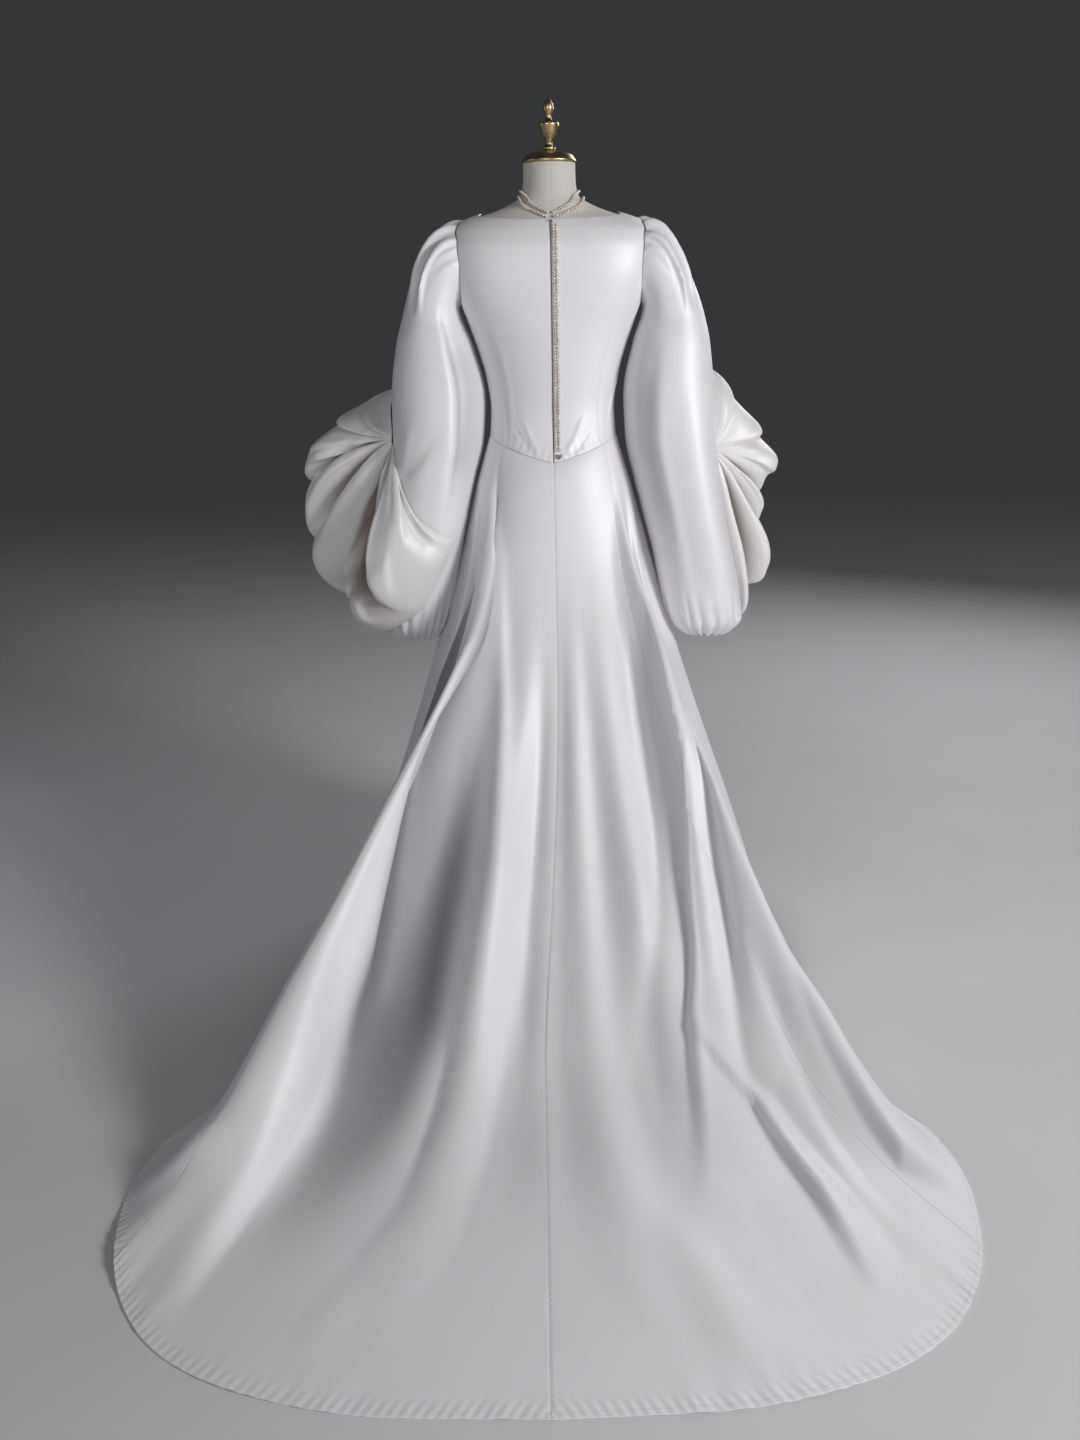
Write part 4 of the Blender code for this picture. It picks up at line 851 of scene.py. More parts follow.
def puff_surface(directions, shares, side):
    """Outer grid of a puff: a row for each share of the way along its lobes."""
    end_turn, end_height, *peak, full = np.moveaxis(eased(PUFF_LOBES[side], directions), -1, 0)
    start_turn, start_height = GATHER[side]

    def path(along, off):
        turn = start_turn + (end_turn - start_turn) * along
        height = start_height + (end_height - start_height) * np.sin(0.5 * math.pi * along)
        base, lean = sleeve_section(height, turn, side)
        return base + lean * np.expand_dims(off, -1)

    share = shares[:, None]
    swell = np.sin(math.pi * (share - shares[0]) / (1.0 - shares[0])) ** PUFF_FULLNESS * full
    swell = swell * left_standing(directions, shares, side)
    stand = np.stack([side * peak[0], peak[1], peak[2]], axis=-1) - path(0.5, PUFF_SEAT)
    off = PUFF_SEAT + (PUFF_FAR_SEAT - PUFF_SEAT) * share
    points = path(share, off) + stand[None] * swell[..., None]
    outside = np.clip((PUFF_TURN - directions) / 25.0, 0.0, 1.0)
    points[..., 1] -= PUFF_FORWARD * outside * swell * np.sin(0.5 * math.pi * share) ** 3
    return points


def puff_creases(directions, shares):
    """Fine gathers that radiate from the point where the puff is caught."""
    share = shares[:, None]
    wave = np.sin(np.radians(directions) * 34.0 + 2.0 * np.sin(np.radians(directions) * 7.0))
    slow = np.sin(np.radians(directions) * 15.0 + 9.0 * share + 1.0)
    return (0.0030 * wave[None, :] * share * np.exp(-share / 0.16)
            + 0.0018 * slow * np.sin(math.pi * share) ** 2)


for side, word in ((1, "left"), (-1, "right")):
    shares = 0.03 + 0.97 * np.linspace(0.0, 1.0, 100) ** 1.15
    directions = np.arange(-176.0, PUFF_LOBES[side][-1][0] + 0.3, 0.75)
    outer = puff_surface(directions, shares, side)
    normal = turned_out(normals(outer, False), outer)
    depth = puff_creases(directions, shares)
    folds = fold_depths(directions[None, :], shares[:, None], PUFF_FOLDS[side])
    depth += folds * np.sin(math.pi * (shares - 0.03) / 0.97)[:, None] ** 0.5
    outer = outer + normal * depth[..., None]
    normal = turned_out(normals(outer, False), outer)
    # painted shade: the colour darkens in the valleys between the lobes
    panel("puff_panel_" + word, outer, outer - normal * CLOTH,
          stands_for=[f"puff_{word}_{number}" for number in (1, 2, 3)],
          painted_fold_shade=smooth(0.06, 0.62, 1.0 - left_standing(directions, shares, side)))

# %% [markdown]
# ## The form
# The padded body is covered with tight linen. Most of it is under the dress; the
# neck and the tops of the shoulders show. A cover is sewn from panels, so a fine
# groove runs down the centre back and front, and along each side of the neck.

# %% The padded body
def torso():
    """A closed body from the form's own levels."""
    heights = np.concatenate([np.linspace(0.790, 1.40, 62)[:-1], np.linspace(1.40, NECK_TOP, 60)])
    angles = np.arange(0.0, 360.0, 2.5)
    grid = ring(heights[:, None], angles[None, :], 0.0)
    groove = np.zeros(grid.shape[:2])
    for where in (90.0, 270.0, 0.0, 180.0):
        away = np.abs((angles - where + 180.0) % 360.0 - 180.0)[None, :]
        groove -= 0.0005 * np.exp(-(away / 2.0) ** 2) * np.ones((len(heights), 1))
    grid = grid + ring_normal(heights[:, None], angles[None, :]) * groove[..., None]
    rows, columns = grid.shape[:2]
    index = np.arange(rows * columns).reshape(rows, columns)
    index = np.concatenate([index, index[:, :1]], axis=1)
    a, b, c, d = (index[:-1, :-1], index[:-1, 1:], index[1:, 1:], index[1:, :-1])
    faces = np.stack([a, b, c, d], axis=-1).reshape(-1, 4).tolist()
    faces += [tuple(range(columns))[::-1], tuple(range((rows - 1) * columns, rows * columns))]
    mesh = bpy.data.meshes.new("form_body")
    mesh.from_pydata(grid.reshape(-1, 3).tolist(), [], faces)
    mesh.shade_smooth()
    mesh.set_sharp_from_angle(angle=math.radians(50.0))
    item = bpy.data.objects.new("form_body", mesh)
    bpy.context.collection.objects.link(item)
    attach(item, "root")
    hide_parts("form_torso")
    pieces["form_body"] = item
    print("form_body:", len(faces), "faces")


torso()

# %% [markdown]
# The neck cap and the finial are turned brass. On a lathe such a piece is drawn as
# a half outline; here a ring of points is extruded upwards and resized at each
# step of the outline, and a narrow bevel catches the light at its edges.

# %% Turned brass
def nothing_selected():
    """Leave edit mode and deselect all."""
    if bpy.context.mode != "OBJECT":
        bpy.ops.object.mode_set(mode="OBJECT")
    bpy.ops.object.select_all(action="DESELECT")


def taken(name, stands_for=()):
    """Name the active object, put its place into its mesh and let it ride."""
    item = bpy.context.active_object
    item.name = item.data.name = name
    bpy.ops.object.mode_set(mode="OBJECT")
    bpy.ops.object.transform_apply(location=True, rotation=True, scale=True)
    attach(item, "root")
    if stands_for:
        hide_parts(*stands_for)
    pieces[name] = item
    return item


def turned_piece(name, outline, stands_for=(), sides=64):
    """A solid of revolution from rows of radius and height."""
    nothing_selected()
    radius, height = outline[0]
    bpy.ops.mesh.primitive_circle_add(vertices=sides, radius=radius, fill_type="NGON",
                                      location=(0.0, 0.0, height))
    bpy.ops.object.mode_set(mode="EDIT")
    bpy.ops.mesh.select_all(action="SELECT")
    for wider, higher in outline[1:]:
        bpy.ops.mesh.extrude_region_move(
            TRANSFORM_OT_translate={"value": (0.0, 0.0, higher - height)})
        share = wider / radius
        bpy.ops.transform.resize(value=(share, share, 1.0), center_override=(0.0, 0.0, higher))
        radius, height = wider, higher
    bpy.ops.mesh.select_all(action="SELECT")
    bpy.ops.mesh.normals_make_consistent(inside=False)
    item = taken(name, stands_for)
    item.data.shade_smooth()
    item.data.set_sharp_from_angle(angle=math.radians(46.0))
    print(name, len(item.data.polygons), "faces")
    return item


CAP_FOOT = NECK_TOP + 0.0003
turned_piece("neck_cap", [
    (0.0490, CAP_FOOT), (0.0508, CAP_FOOT + 0.0006), (0.0520, CAP_FOOT + 0.0022),
    (0.0521, CAP_FOOT + 0.0048), (0.0512, CAP_FOOT + 0.0066), (0.0500, CAP_FOOT + 0.0072),
    (0.0494, CAP_FOOT + 0.0080), (0.0478, CAP_FOOT + 0.0112), (0.0440, CAP_FOOT + 0.0150),
    (0.0370, CAP_FOOT + 0.0184), (0.0280, CAP_FOOT + 0.0208), (0.0190, CAP_FOOT + 0.0224),
    (0.0130, CAP_FOOT + 0.0231), (0.0080, CAP_FOOT + 0.0234)], ["form_neck_cap"], 96)
FINIAL_FOOT = CAP_FOOT + 0.0238
turned_piece("finial", [
    (0.0112, FINIAL_FOOT), (0.0124, FINIAL_FOOT + 0.0008), (0.0130, FINIAL_FOOT + 0.0024),
    (0.0126, FINIAL_FOOT + 0.0042), (0.0100, FINIAL_FOOT + 0.0054), (0.0080, FINIAL_FOOT + 0.0068),
    (0.0068, FINIAL_FOOT + 0.0092), (0.0065, FINIAL_FOOT + 0.0120), (0.0074, FINIAL_FOOT + 0.0160),
    (0.0098, FINIAL_FOOT + 0.0210), (0.0134, FINIAL_FOOT + 0.0270), (0.0164, FINIAL_FOOT + 0.0340),
    (0.0184, FINIAL_FOOT + 0.0400), (0.0198, FINIAL_FOOT + 0.0440), (0.0201, FINIAL_FOOT + 0.0462),
    (0.0196, FINIAL_FOOT + 0.0480), (0.0180, FINIAL_FOOT + 0.0492), (0.0150, FINIAL_FOOT + 0.0500),
    (0.0118, FINIAL_FOOT + 0.0506), (0.0090, FINIAL_FOOT + 0.0518), (0.0070, FINIAL_FOOT + 0.0536),
    (0.0056, FINIAL_FOOT + 0.0564), (0.0050, FINIAL_FOOT + 0.0596), (0.0054, FINIAL_FOOT + 0.0630),
    (0.0068, FINIAL_FOOT + 0.0658), (0.0086, FINIAL_FOOT + 0.0690), (0.0098, FINIAL_FOOT + 0.0730),
    (0.0100, FINIAL_FOOT + 0.0770), (0.0092, FINIAL_FOOT + 0.0812), (0.0074, FINIAL_FOOT + 0.0852),
    (0.0050, FINIAL_FOOT + 0.0886), (0.0030, FINIAL_FOOT + 0.0908), (0.0012, FINIAL_FOOT + 0.0922)],
    ["form_finial"], 48)

# %% [markdown]
# ## The pearls
# Each strand is a row of beads on a thread. One bead is modelled, flattened a
# little at its holes, and copied along the strand's path; a path is given as
# points, and the beads are set at equal steps of its length.

# %% A bead and its copies
PEARL_RADIUS = 0.0028
PEARL_PITCH = 0.0060


def bead_mesh():
    """One pearl with its small flat ends, at the origin, threaded along Z."""
    nothing_selected()
    bpy.ops.mesh.primitive_uv_sphere_add(segments=12, ring_count=8, radius=PEARL_RADIUS)
    bpy.ops.object.mode_set(mode="EDIT")
    bpy.ops.mesh.select_all(action="SELECT")
    bpy.ops.transform.resize(value=(1.0, 1.0, 0.97))
    bpy.ops.object.mode_set(mode="OBJECT")
    item = bpy.context.active_object
    item.data.shade_smooth()
    return item


def strand(name, route, pitch, bead, stands_for, size=1.0):
    """Copies of a bead at equal steps along a route, joined into one piece."""
    route = np.array(route)
    step = np.linalg.norm(np.diff(route, axis=0), axis=1)
    along = np.concatenate([[0.0], np.cumsum(step)])
    places = np.arange(0.5 * pitch, along[-1], pitch)
    copies = []
    for number, place in enumerate(places):
        spot = [np.interp(place, along, route[:, axis]) for axis in range(3)]
        ahead = [np.interp(place + 0.002, along, route[:, axis]) for axis in range(3)]
        behind = [np.interp(place - 0.002, along, route[:, axis]) for axis in range(3)]
        way = Vector(np.array(ahead) - np.array(behind))
        copy = bead.copy()
        copy.data = bead.data.copy()
        scale = size * (1.0 + 0.03 * math.sin(2.7 * number))
        copy.data.transform(Matrix.Translation(spot) @ way.to_track_quat("Z", "Y").to_matrix().to_4x4()
                            @ Matrix.Scale(scale, 4))
        bpy.context.collection.objects.link(copy)
        copies.append(copy)
    nothing_selected()
    for copy in copies:
        copy.select_set(True)
    bpy.context.view_layer.objects.active = copies[0]
    bpy.ops.object.join()
    item = taken(name, stands_for)
    print(name, len(copies), "beads")
    return item


# name, side, height at the nape, rise to the side, lateness of the rise
NECK_STRANDS = (
    ("pearls_neck_left_low", 1, 1.4530, 0.0420, 1.05),
    ("pearls_neck_left_high", 1, 1.4600, 0.0460, 1.00),
    ("pearls_neck_right_low", -1, 1.4530, 0.0370, 1.05),
    ("pearls_neck_right_high", -1, 1.4600, 0.0440, 1.00),
)
# name, X at the top, sideways bow
BACK_STRANDS = (("pearls_back_left", -0.0052, 0.0012), ("pearls_back_right", -0.0108, 0.0))


def on_bodice(height, x, off):
    """A point off the outside of the back of the bodice."""
    level = eased(FORM_LEVELS, height)
    cosine = min(1.0, abs(x) / level[0]) ** (0.5 * level[3])
    angle = math.degrees(math.acos(cosine))
    point = ring(height, angle, 0.0) + ring_normal(height, angle) * (
        ease_at(height) + CLOTH + 0.0004 + off)
    return np.array([math.copysign(point[0], x), point[1], point[2]])


bead = bead_mesh()
for name, side, nape, rise, late in NECK_STRANDS:
    route = []
    for angle in np.linspace(88.0, -88.0, 80):
        height = nape + rise * math.cos(math.radians(angle)) ** late
        point = ring(height, angle, 0.0) + ring_normal(height, angle) * (PEARL_RADIUS + 0.0006)
        route.append(point * np.array([side, 1.0, 1.0]))
    strand(name.replace("pearls", "beads"), route, PEARL_PITCH, bead, [name])
for name, x, bow in BACK_STRANDS:
    route = []
    for share in np.linspace(0.0, 1.0, 80):
        aside = bow * math.exp(-((share - 0.82) / 0.13) ** 2)
        route.append(on_bodice(1.4400 + (1.0160 - 1.4400) * share, x + aside, PEARL_RADIUS + 0.0004))
    strand(name.replace("pearls", "beads"), route, PEARL_PITCH, bead, [name])
bpy.data.objects.remove(bead, do_unlink=True)

# %% [markdown]
# ## The fastening
# The zip is of the hidden kind: its teeth lie behind the two lips of the cloth
# and only a thin dark line shows, open for the last centimetre under a small hook.
# A dark heart closes the two rows of pearls at the waist.

# %% Zip, hook and heart
def zip_tape():
    """Two rows of tape that follow the form's back."""
    heights = np.linspace(1.012, 1.440, 90)
    across = np.linspace(-0.0085, 0.0085, 15)
    grids = []
    for out in (0.0017, 0.0009):
        centre = ring(heights, 90.0, 0.0) + ring_normal(heights, 90.0) * out
        grid = np.repeat(centre[:, None, :], len(across), axis=1)
        grid[..., 0] += across[None, :]
        grid[..., 1] -= 0.0003 * np.abs(across[None, :]) / 0.0085
        grids.append(grid[::-1])
    return panel("zip_tape", grids[0], grids[1], stands_for=["zip"])


zip_tape()
nothing_selected()
bpy.ops.mesh.primitive_cube_add(size=1.0)
bpy.ops.transform.resize(value=(0.0021, 0.0007, 0.0006))
bpy.ops.object.transform_apply(scale=True)
bpy.ops.object.mode_set(mode="EDIT")
bpy.ops.mesh.select_all(action="SELECT")
bpy.ops.mesh.bevel(offset=0.00018, segments=1)
bpy.ops.object.mode_set(mode="OBJECT")
tooth = bpy.context.active_object
teeth = []
for number, height in enumerate(np.arange(1.014, 1.4375, 0.0013)):
    place = ring(height, 90.0, 0.0) + ring_normal(height, 90.0) * 0.00212
    copy = tooth.copy()
    copy.data = tooth.data.copy()
    copy.data.transform(Matrix.Translation((0.00035 * (-1) ** number, place[1], height)))
    bpy.context.collection.objects.link(copy)
    teeth.append(copy)
bpy.data.objects.remove(tooth, do_unlink=True)
nothing_selected()
for copy in teeth:
    copy.select_set(True)
bpy.context.view_layer.objects.active = teeth[0]
bpy.ops.object.join()
taken("zip_teeth")
print("teeth:", len(teeth))

seat = on_bodice(1.4440, 0.0001, 0.0014)
nothing_selected()
bpy.ops.mesh.primitive_torus_add(major_radius=0.0034, minor_radius=0.0007, major_segments=28,
                                 minor_segments=8, location=tuple(seat),
                                 rotation=(math.radians(68.0), 0.0, 0.0))
bpy.ops.transform.resize(value=(1.25, 1.0, 0.62))
taken("hook_loop", ["hook"]).data.shade_smooth()

nothing_selected()
heart_seat = on_bodice(1.0160, -0.0095, 0.0030)
bpy.ops.mesh.primitive_circle_add(vertices=48, radius=1.0, fill_type="NGON")
heart = bpy.context.active_object
HEART_MIDDLE = 1.0160 - SEAM - 0.5 * 0.0115 - 0.0008
for number, vertex in enumerate(heart.data.vertices):
    turn = 2.0 * math.pi * number / 48
    vertex.co = (heart_seat[0] + 0.0075 * math.sin(turn) ** 3, heart_seat[1] + 0.0012,
                 HEART_MIDDLE + 0.0115 * (0.42 * math.cos(turn) - 0.16 * math.cos(2.0 * turn)
                                          - 0.06 * math.cos(3.0 * turn)))
bpy.ops.object.mode_set(mode="EDIT")
bpy.ops.mesh.select_all(action="SELECT")
bpy.ops.mesh.extrude_region_move(TRANSFORM_OT_translate={"value": (0.0, 0.0018, 0.0)})
bpy.ops.mesh.inset(thickness=0.0007)
bpy.ops.mesh.extrude_region_move(TRANSFORM_OT_translate={"value": (0.0, 0.0008, 0.0)})
bpy.ops.transform.resize(value=(0.72, 1.0, 0.72))
bpy.ops.mesh.select_all(action="SELECT")
bpy.ops.mesh.normals_make_consistent(inside=False)
taken("heart", ["pendant"])
print("heart at", heart_seat.round(4))

# %% [markdown]
# ## Finishes
# A finish is a small drawing of nodes. Written as sums, a pattern reads like the
# thought behind it: this class wraps a socket, so that `weave * 0.3 + 0.5` adds
# the maths nodes by itself, and `node` makes any other kind.

# %% A short way to write shader maths
class Value:
    """A number that changes over a surface."""

    def __init__(self, tree, socket):
        self.tree, self.socket = tree, socket

    def math(self, kind, *others, clamp=False):
        """One Math node."""
        made = self.tree.nodes.new("ShaderNodeMath")
        made.operation, made.use_clamp = kind, clamp
        for slot, given in zip(made.inputs, (self, *others)):
            if isinstance(given, Value):
                self.tree.links.new(given.socket, slot)
            else:
                slot.default_value = given
        return Value(self.tree, made.outputs[0])

    def __add__(self, right):
        return self.math("ADD", right)

    def __sub__(self, right):
        return self.math("SUBTRACT", right)

    def __mul__(self, right):
        return self.math("MULTIPLY", right)

    def __truediv__(self, right):
        return self.math("DIVIDE", right)

    def __rsub__(self, left):
        return self.math("MULTIPLY", -1.0).math("ADD", left)

    __radd__ = __add__
    __rmul__ = __mul__

    def step(self, low, high):
        """0 below low, 1 above high, soft between."""
        made = self.tree.nodes.new("ShaderNodeMapRange")
        made.interpolation_type = "SMOOTHSTEP"
        self.tree.links.new(self.socket, made.inputs[0])
        made.inputs[1].default_value, made.inputs[2].default_value = low, high
        return Value(self.tree, made.outputs[0])


class Finish:
    """A material with one Principled shader and helpers for its nodes."""

    def __init__(self, name, **sockets):
        self.material = bpy.data.materials.new(name)
        self.material.use_nodes = True
        self.tree = self.material.node_tree
        self.shader = self.tree.nodes["Principled BSDF"]
        for label, value in sockets.items():
            self.shader.inputs[label.replace("_", " ")].default_value = value

    def node(self, kind, settings=(), output=0, **sockets):
        """Any node: its settings first, then values or links of its sockets."""
        made = self.tree.nodes.new(kind)
        for label, value in dict(settings).items():
            setattr(made, label, value)
        for label, value in sockets.items():
            slot = made.inputs[int(label[1:]) if label[1:].isdigit() else label.replace("_", " ")]
            if isinstance(value, Value):
                self.tree.links.new(value.socket, slot)
            else:
                slot.default_value = value
        return Value(self.tree, made.outputs[output])

    def noise(self, where, scale, detail=2.0, rough=0.5):
        """Soft cloudy values from 0 to 1."""
        return self.node("ShaderNodeTexNoise", Vector=where, Scale=scale, Detail=detail,
                         Roughness=rough)

    def objects(self, stretch=(1.0, 1.0, 1.0)):
        """Object coordinates, stretched."""
        place = self.node("ShaderNodeTexCoord", output=3)
        return self.node("ShaderNodeMapping", Vector=place, Scale=stretch)

    def mixed(self, share, first, second):
        """A colour between two colours."""
        return self.node("ShaderNodeMix", {"data_type": "RGBA"}, 2, s0=share, s6=first, s7=second)

    def give(self, **links):
        """Join values to the shader's own sockets."""
        for label, value in links.items():
            self.tree.links.new(value.socket, self.shader.inputs[label.replace("_", " ")])

    def bumped(self, height, distance, strength=1.0, under=None):
        """A normal from a height in metres."""
        sockets = {"Height": height, "Distance": distance, "Strength": strength}
        if under is not None:
            sockets["Normal"] = under
        return self.node("ShaderNodeBump", **sockets)

    def put_on(self, *names):
        """Give this finish to pieces or carried-over nodes."""
        for name in names:
            item = pieces.get(name) or frame["nodes"][name]
            item.data.materials.clear()
            item.data.materials.append(self.material)
            if item.data.polygons:
                item.data.polygons.foreach_set("material_index", [0] * len(item.data.polygons))


print("ready to make finishes")

# %% [markdown]
# Duchess satin is a dense weave with long floating threads: from a step away it
# shows a broad, calm gloss and no threads at all. Close up there are fine ribs.
# Seams pucker a little where the stitches draw the cloth in, the hem is caught by
# a row of small stitches, and pressed cloth keeps some faint wrinkles.

# %% Ivory satin
def satin(name, tint, deep, painted_shade_tone):
    """The dress's cloth: its colour, a second one in its clouds, and painted shade deep in folds."""
    finish = Finish(name, Metallic=0.12, Specular_IOR_Level=0.5, Sheen_Weight=0.06,
                    Sheen_Roughness=0.35, Coat_Weight=0.04, Coat_Roughness=0.35)
    cloth = finish.node("ShaderNodeUVMap", {"uv_map": "cloth"})
    seam = finish.node("ShaderNodeAttribute", {"attribute_name": "seam"}, 2)
    hem = finish.node("ShaderNodeAttribute", {"attribute_name": "hem"}, 2)
    painted_fold_shade = finish.node("ShaderNodeAttribute", {"attribute_name": "painted_fold_shade"}, 2)
    place = finish.objects()
    cloud = finish.noise(place, 5.0, 3.0)
    fall = finish.noise(finish.node("ShaderNodeMapping", Vector=cloth, Scale=(11.0, 1.6, 1.0)), 1.0, 2.0)
    wrinkle = finish.noise(finish.node("ShaderNodeMapping", Vector=cloth, Scale=(70.0, 34.0, 1.0)),
                           1.0, 4.0, 0.55)
    ribs = finish.node("ShaderNodeTexWave", {"bands_direction": "X"}, 1, Vector=cloth, Scale=330.0,
                       Distortion=1.5, Detail=2.0, Detail_Scale=2.0)
    picks = finish.node("ShaderNodeTexWave", {"bands_direction": "Y"}, 1, Vector=cloth, Scale=260.0,
                        Distortion=1.0, Detail=1.0)
    near_seam = 1.0 - seam.step(0.0006, 0.0040)
    stitch_line = hem.step(0.0085, 0.0092) * (1.0 - hem.step(0.0098, 0.0105))
    along = finish.node("ShaderNodeSeparateXYZ", Vector=cloth)
    stitches = (along * 1570.0).math("SINE").step(-0.2, 0.4) * stitch_line
    shade = (cloud * 0.5 + fall * 0.35 + near_seam * 0.22 + stitches * 0.5)
    open_colour = finish.mixed(shade.math("MULTIPLY", 0.75, clamp=True), tint, deep)
    # painted shade: deep in the folds the colour turns to the dark shade tone
    colour = finish.mixed(painted_fold_shade * 0.9, open_colour, painted_shade_tone)
    rough = 0.50 + cloud * 0.05 + ribs * 0.03 + stitches * 0.2
    down = finish.node("ShaderNodeSeparateXYZ", output=1, Vector=cloth)
    pucker = (down * 520.0 + cloud * 6.0).math("SINE") * near_seam
    hem_pucker = (along * 410.0 + cloud * 9.0).math("SINE") * (1.0 - hem.step(0.012, 0.040))
    fine = finish.bumped(ribs * 0.6 + picks * 0.4, 0.00003, 0.5)
    soft = finish.bumped(wrinkle, 0.0006, 0.4, fine)
    falling = finish.bumped(fall, 0.0040, 0.3, soft)
    sewn = finish.bumped(pucker * 0.5 + hem_pucker * 0.7 + stitches * -1.0 + near_seam * -0.9,
                         0.00045, 0.8, falling)
    finish.give(Base_Color=colour, Roughness=rough, Normal=sewn)
    return finish


# the last colour of each satin is painted shade for deep in the folds: grey on the dress, brown on the
# puffs
ivory = satin("ivory_satin_cloth", (0.835, 0.828, 0.850, 1.0), (0.72, 0.70, 0.705, 1.0),
              (0.20, 0.20, 0.215, 1.0))
warm_satin_brown_painted_shade = satin("ivory_satin_puffs", (0.83, 0.82, 0.82, 1.0), (0.70, 0.675, 0.66, 1.0),
             (0.20, 0.140, 0.105, 1.0))
cloth_names = [name for name in pieces if "_panel" in name]
ivory.put_on(*[name for name in cloth_names if "puff" not in name])
warm_satin_brown_painted_shade.put_on("puff_panel_left", "puff_panel_right")
print("satin on", len(cloth_names), "panels")

# %% [markdown]
# Linen shows its threads: two sets of fine bands cross, some thicker than others.
# The bands are drawn twice, round the body and up it, from Object coordinates.

# %% Linen, brass, steel, pearl, tape and silver
def linen():
    """The form's cover."""
    finish = Finish("form_linen_weave", Specular_IOR_Level=0.25, Sheen_Weight=0.2)
    place = finish.objects()
    warp = finish.node("ShaderNodeTexWave", {"bands_direction": "X"}, 1, Vector=place, Scale=260.0,
                       Distortion=2.0, Detail=2.0)
    weft = finish.node("ShaderNodeTexWave", {"bands_direction": "Z"}, 1, Vector=place, Scale=260.0,
                       Distortion=2.0, Detail=2.0)
    slub = finish.noise(finish.objects((60.0, 60.0, 900.0)), 1.0, 3.0)
    cloud = finish.noise(place, 14.0, 3.0)
    weave = warp * 0.5 + weft * 0.5
    shade = (weave * 0.35 + slub * 0.35 + cloud * 0.3).math("MULTIPLY", 1.0, clamp=True)
    finish.give(Base_Color=finish.mixed(shade, (0.66, 0.635, 0.60, 1.0), (0.54, 0.515, 0.475, 1.0)),
                Roughness=0.78 + slub * 0.12,
                Normal=finish.bumped(weave + slub * 0.5, 0.00012, 0.7))
    finish.put_on("form_body")


def brass():
    """Old brass: bright on the edges that hands touch, brown in the hollows."""
    finish = Finish("aged_brass_turned", Metallic=1.0)
    place = finish.objects()
    tarnish = finish.noise(place, 70.0, 4.0, 0.6)
    rings = finish.noise(finish.objects((8.0, 8.0, 1400.0)), 1.0, 2.0)
    edge = finish.node("ShaderNodeNewGeometry", output=7)
    worn = edge.step(0.48, 0.56)
    shade = (tarnish.step(0.35, 0.72) * (1.0 - worn)).math("MULTIPLY", 1.0, clamp=True)
    finish.give(Base_Color=finish.mixed(shade, (0.58, 0.43, 0.24, 1.0), (0.17, 0.12, 0.07, 1.0)),
                Roughness=0.20 + tarnish * 0.22 + rings * 0.08,
                Normal=finish.bumped(rings + tarnish * 0.4, 0.00010, 0.4))
    finish.put_on("neck_cap", "finial")


def steel():
    """Brushed steel of the stand."""
    finish = Finish("stand_steel_brushed", Metallic=1.0)
    brushed = finish.noise(finish.objects((300.0, 300.0, 6.0)), 1.0, 3.0)
    smudge = finish.noise(finish.objects(), 12.0, 3.0)
    finish.give(Base_Color=finish.mixed(smudge, (0.66, 0.66, 0.67, 1.0), (0.52, 0.52, 0.54, 1.0)),
                Roughness=0.28 + brushed * 0.16 + smudge * 0.08,
                Normal=finish.bumped(brushed, 0.00008, 0.4))
    finish.put_on("form_pole", "form_base")


def pearl():
    """Imitation pearl: a soft deep lustre that differs a little from bead to bead."""
    finish = Finish("pearl_lustre", Specular_IOR_Level=0.6, Coat_Weight=0.6, Coat_Roughness=0.12,
                    Sheen_Weight=0.2)
    place = finish.objects()
    bead_tone = finish.noise(place, 130.0, 1.0)
    bloom = finish.noise(place, 420.0, 2.0)
    finish.give(Base_Color=finish.mixed(bead_tone.step(0.3, 0.7), (0.80, 0.75, 0.68, 1.0),
                                        (0.52, 0.45, 0.38, 1.0)),
                Roughness=0.20 + bloom * 0.12,
                Normal=finish.bumped(bloom, 0.00003, 0.3))
    finish.put_on(*[name for name in pieces if name.startswith("beads")])


def tape():
    """Woven zip tape and its pale teeth."""
    finish = Finish("zip_tape_weave", Specular_IOR_Level=0.3)
    place = finish.objects()
    rib = finish.node("ShaderNodeTexWave", {"bands_direction": "Z"}, 1, Vector=place, Scale=420.0)
    cloud = finish.noise(place, 60.0, 2.0)
    finish.give(Base_Color=finish.mixed(rib * 0.6 + cloud * 0.4, (0.62, 0.58, 0.52, 1.0),
                                        (0.42, 0.38, 0.34, 1.0)),
                Roughness=0.62 + cloud * 0.2, Normal=finish.bumped(rib, 0.00008, 0.6))
    finish.put_on("zip_tape", "zip_teeth")


def silver():
    """Darkened silver of the hook and the heart."""
    finish = Finish("dark_silver_worn", Metallic=1.0)
    place = finish.objects()
    tarnish = finish.noise(place, 240.0, 3.0)
    worn = finish.node("ShaderNodeNewGeometry", output=7).step(0.5, 0.6)
    shade = (tarnish.step(0.3, 0.7) * (1.0 - worn)).math("MULTIPLY", 1.0, clamp=True)
    finish.give(Base_Color=finish.mixed(shade, (0.62, 0.61, 0.60, 1.0), (0.16, 0.15, 0.15, 1.0)),
                Roughness=0.22 + tarnish * 0.2, Normal=finish.bumped(tarnish, 0.00006, 0.5))
    finish.put_on("hook_loop", "heart")


for make in (linen, brass, steel, pearl, tape, silver):
    make()
print("finishes:", len(bpy.data.materials))

# %% [markdown]
# ## Light and view
# A pale floor and broad soft lamps, as in a studio. The strongest stands to the
# right of the view, so that each long fold has a light and a dim flank. A wide one
# beside the camera and a small cool one at the left lift the shadows, and one at
# the far side lights the front of the dress and draws its edges. The camera looks
# down a little from below the height of the form's shoulders.

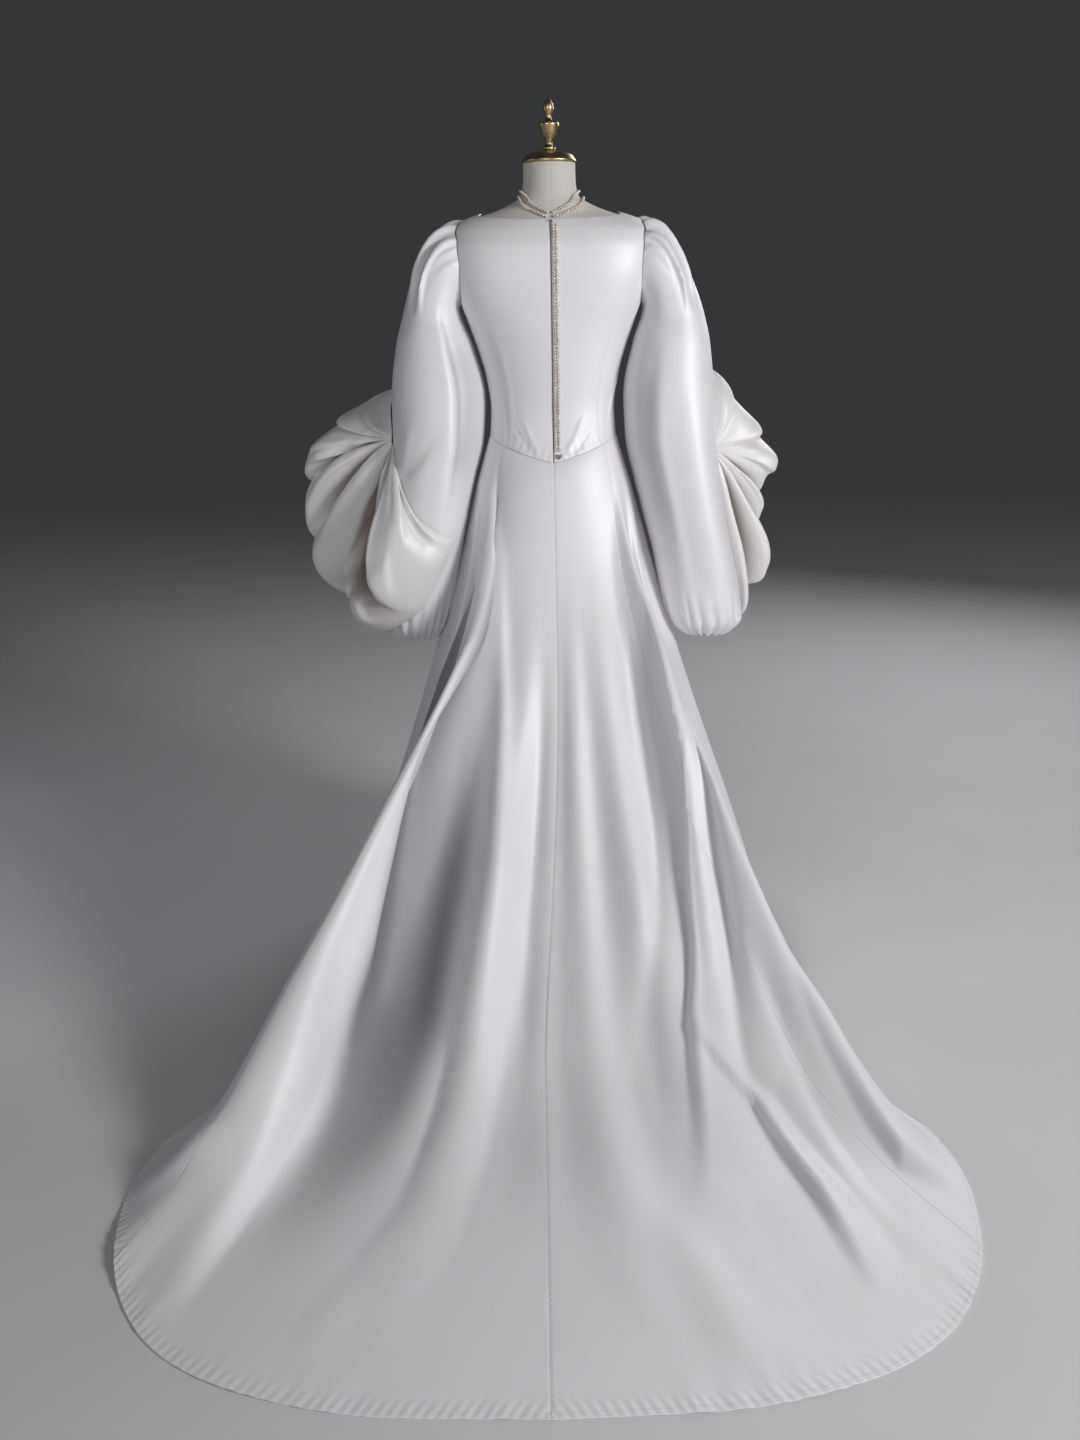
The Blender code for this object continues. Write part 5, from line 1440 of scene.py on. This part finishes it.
# %% The floor
FLOOR_SIDE = 14.0
FLOOR_DROP = 0.0006        # keeps the floor just under the cloth that lies on it
nothing_selected()
bpy.ops.mesh.primitive_plane_add(size=FLOOR_SIDE, location=(0.0, 0.0, -FLOOR_DROP))
floor = bpy.context.active_object
floor.name = "floor"
floor_finish = Finish("pale_floor", Specular_IOR_Level=0.3)
dust = floor_finish.noise(floor_finish.objects(), 3.0, 4.0)
floor_tint = floor_finish.mixed(dust, (0.66, 0.66, 0.67, 1.0), (0.60, 0.60, 0.61, 1.0))
floor_finish.give(Base_Color=floor_tint, Roughness=0.55 + dust * 0.1)
floor.data.materials.append(floor_finish.material)
print("floor", FLOOR_SIDE, "m a side")

# %% The lamps
# lamp: place, the point it is aimed at, watts, side, colour
LAMPS = {
    "key_lamp": ((-3.3, 3.1, 2.2), (0.0, 0.2, 0.8), 138.0, 1.1, (0.995, 0.985, 1.0)),
    "front_lamp": ((1.1, 4.6, 2.0), (0.0, 0.2, 1.0), 44.0, 2.0, (1.0, 0.99, 1.0)),
    "fill_lamp": ((3.4, 0.5, 1.5), (0.0, 0.2, 0.7), 7.0, 1.0, (0.84, 0.92, 1.0)),
    "edge_lamp": ((-1.8, -2.6, 2.4), (0.0, 0.0, 0.9), 42.0, 1.6, (0.97, 0.98, 1.0)),
}
AIR_COLOUR = (0.72, 0.74, 0.78, 1.0)
AIR_STRENGTH = 0.05


def lamp(name, place, aim, watts, size, colour):
    """A square soft lamp that points at a place."""
    light = bpy.data.lights.new(name, "AREA")
    light.energy, light.size, light.color = watts, size, colour
    item = bpy.data.objects.new(name, light)
    bpy.context.collection.objects.link(item)
    item.location = place
    item.rotation_euler = (Vector(aim) - Vector(place)).to_track_quat("-Z", "Y").to_euler()


for name, settings in LAMPS.items():
    lamp(name, *settings)
world = bpy.data.worlds.new("studio_air")
bpy.context.scene.world = world
world.use_nodes = True
world.node_tree.nodes["Background"].inputs[0].default_value = AIR_COLOUR
world.node_tree.nodes["Background"].inputs[1].default_value = AIR_STRENGTH
print("lamps:", len(LAMPS))

# %% The camera
PHOTO_LONG_SIDE = 1440.0   # pixels
FOCAL_LENGTH = 1466.0      # pixels
SENSOR_SIDE = 36.0
VIEW_PITCH = math.radians(15.9)
VIEW_ROLL = math.radians(-1.0)
VIEW_PLACE = Vector((0.036, 3.0, 1.30))
camera = bpy.data.cameras.new("view")
camera.sensor_width, camera.sensor_fit = SENSOR_SIDE, "AUTO"
camera.lens = FOCAL_LENGTH / PHOTO_LONG_SIDE * SENSOR_SIDE
ahead = Vector((0.0, -math.cos(VIEW_PITCH), -math.sin(VIEW_PITCH)))
above = Vector((0.0, -math.sin(VIEW_PITCH), math.cos(VIEW_PITCH)))
right = Vector((-1.0, 0.0, 0.0))
right, above = (right * math.cos(VIEW_ROLL) + above * math.sin(VIEW_ROLL),
                above * math.cos(VIEW_ROLL) - right * math.sin(VIEW_ROLL))
viewer = bpy.data.objects.new("view", camera)
bpy.context.collection.objects.link(viewer)
viewer.matrix_world = Matrix((
    (right.x, above.x, -ahead.x, VIEW_PLACE.x), (right.y, above.y, -ahead.y, VIEW_PLACE.y),
    (right.z, above.z, -ahead.z, VIEW_PLACE.z), (0.0, 0.0, 0.0, 1.0)))
bpy.context.scene.camera = viewer
bpy.context.scene.view_settings.view_transform = "Standard"
print("camera lens", round(camera.lens, 2))
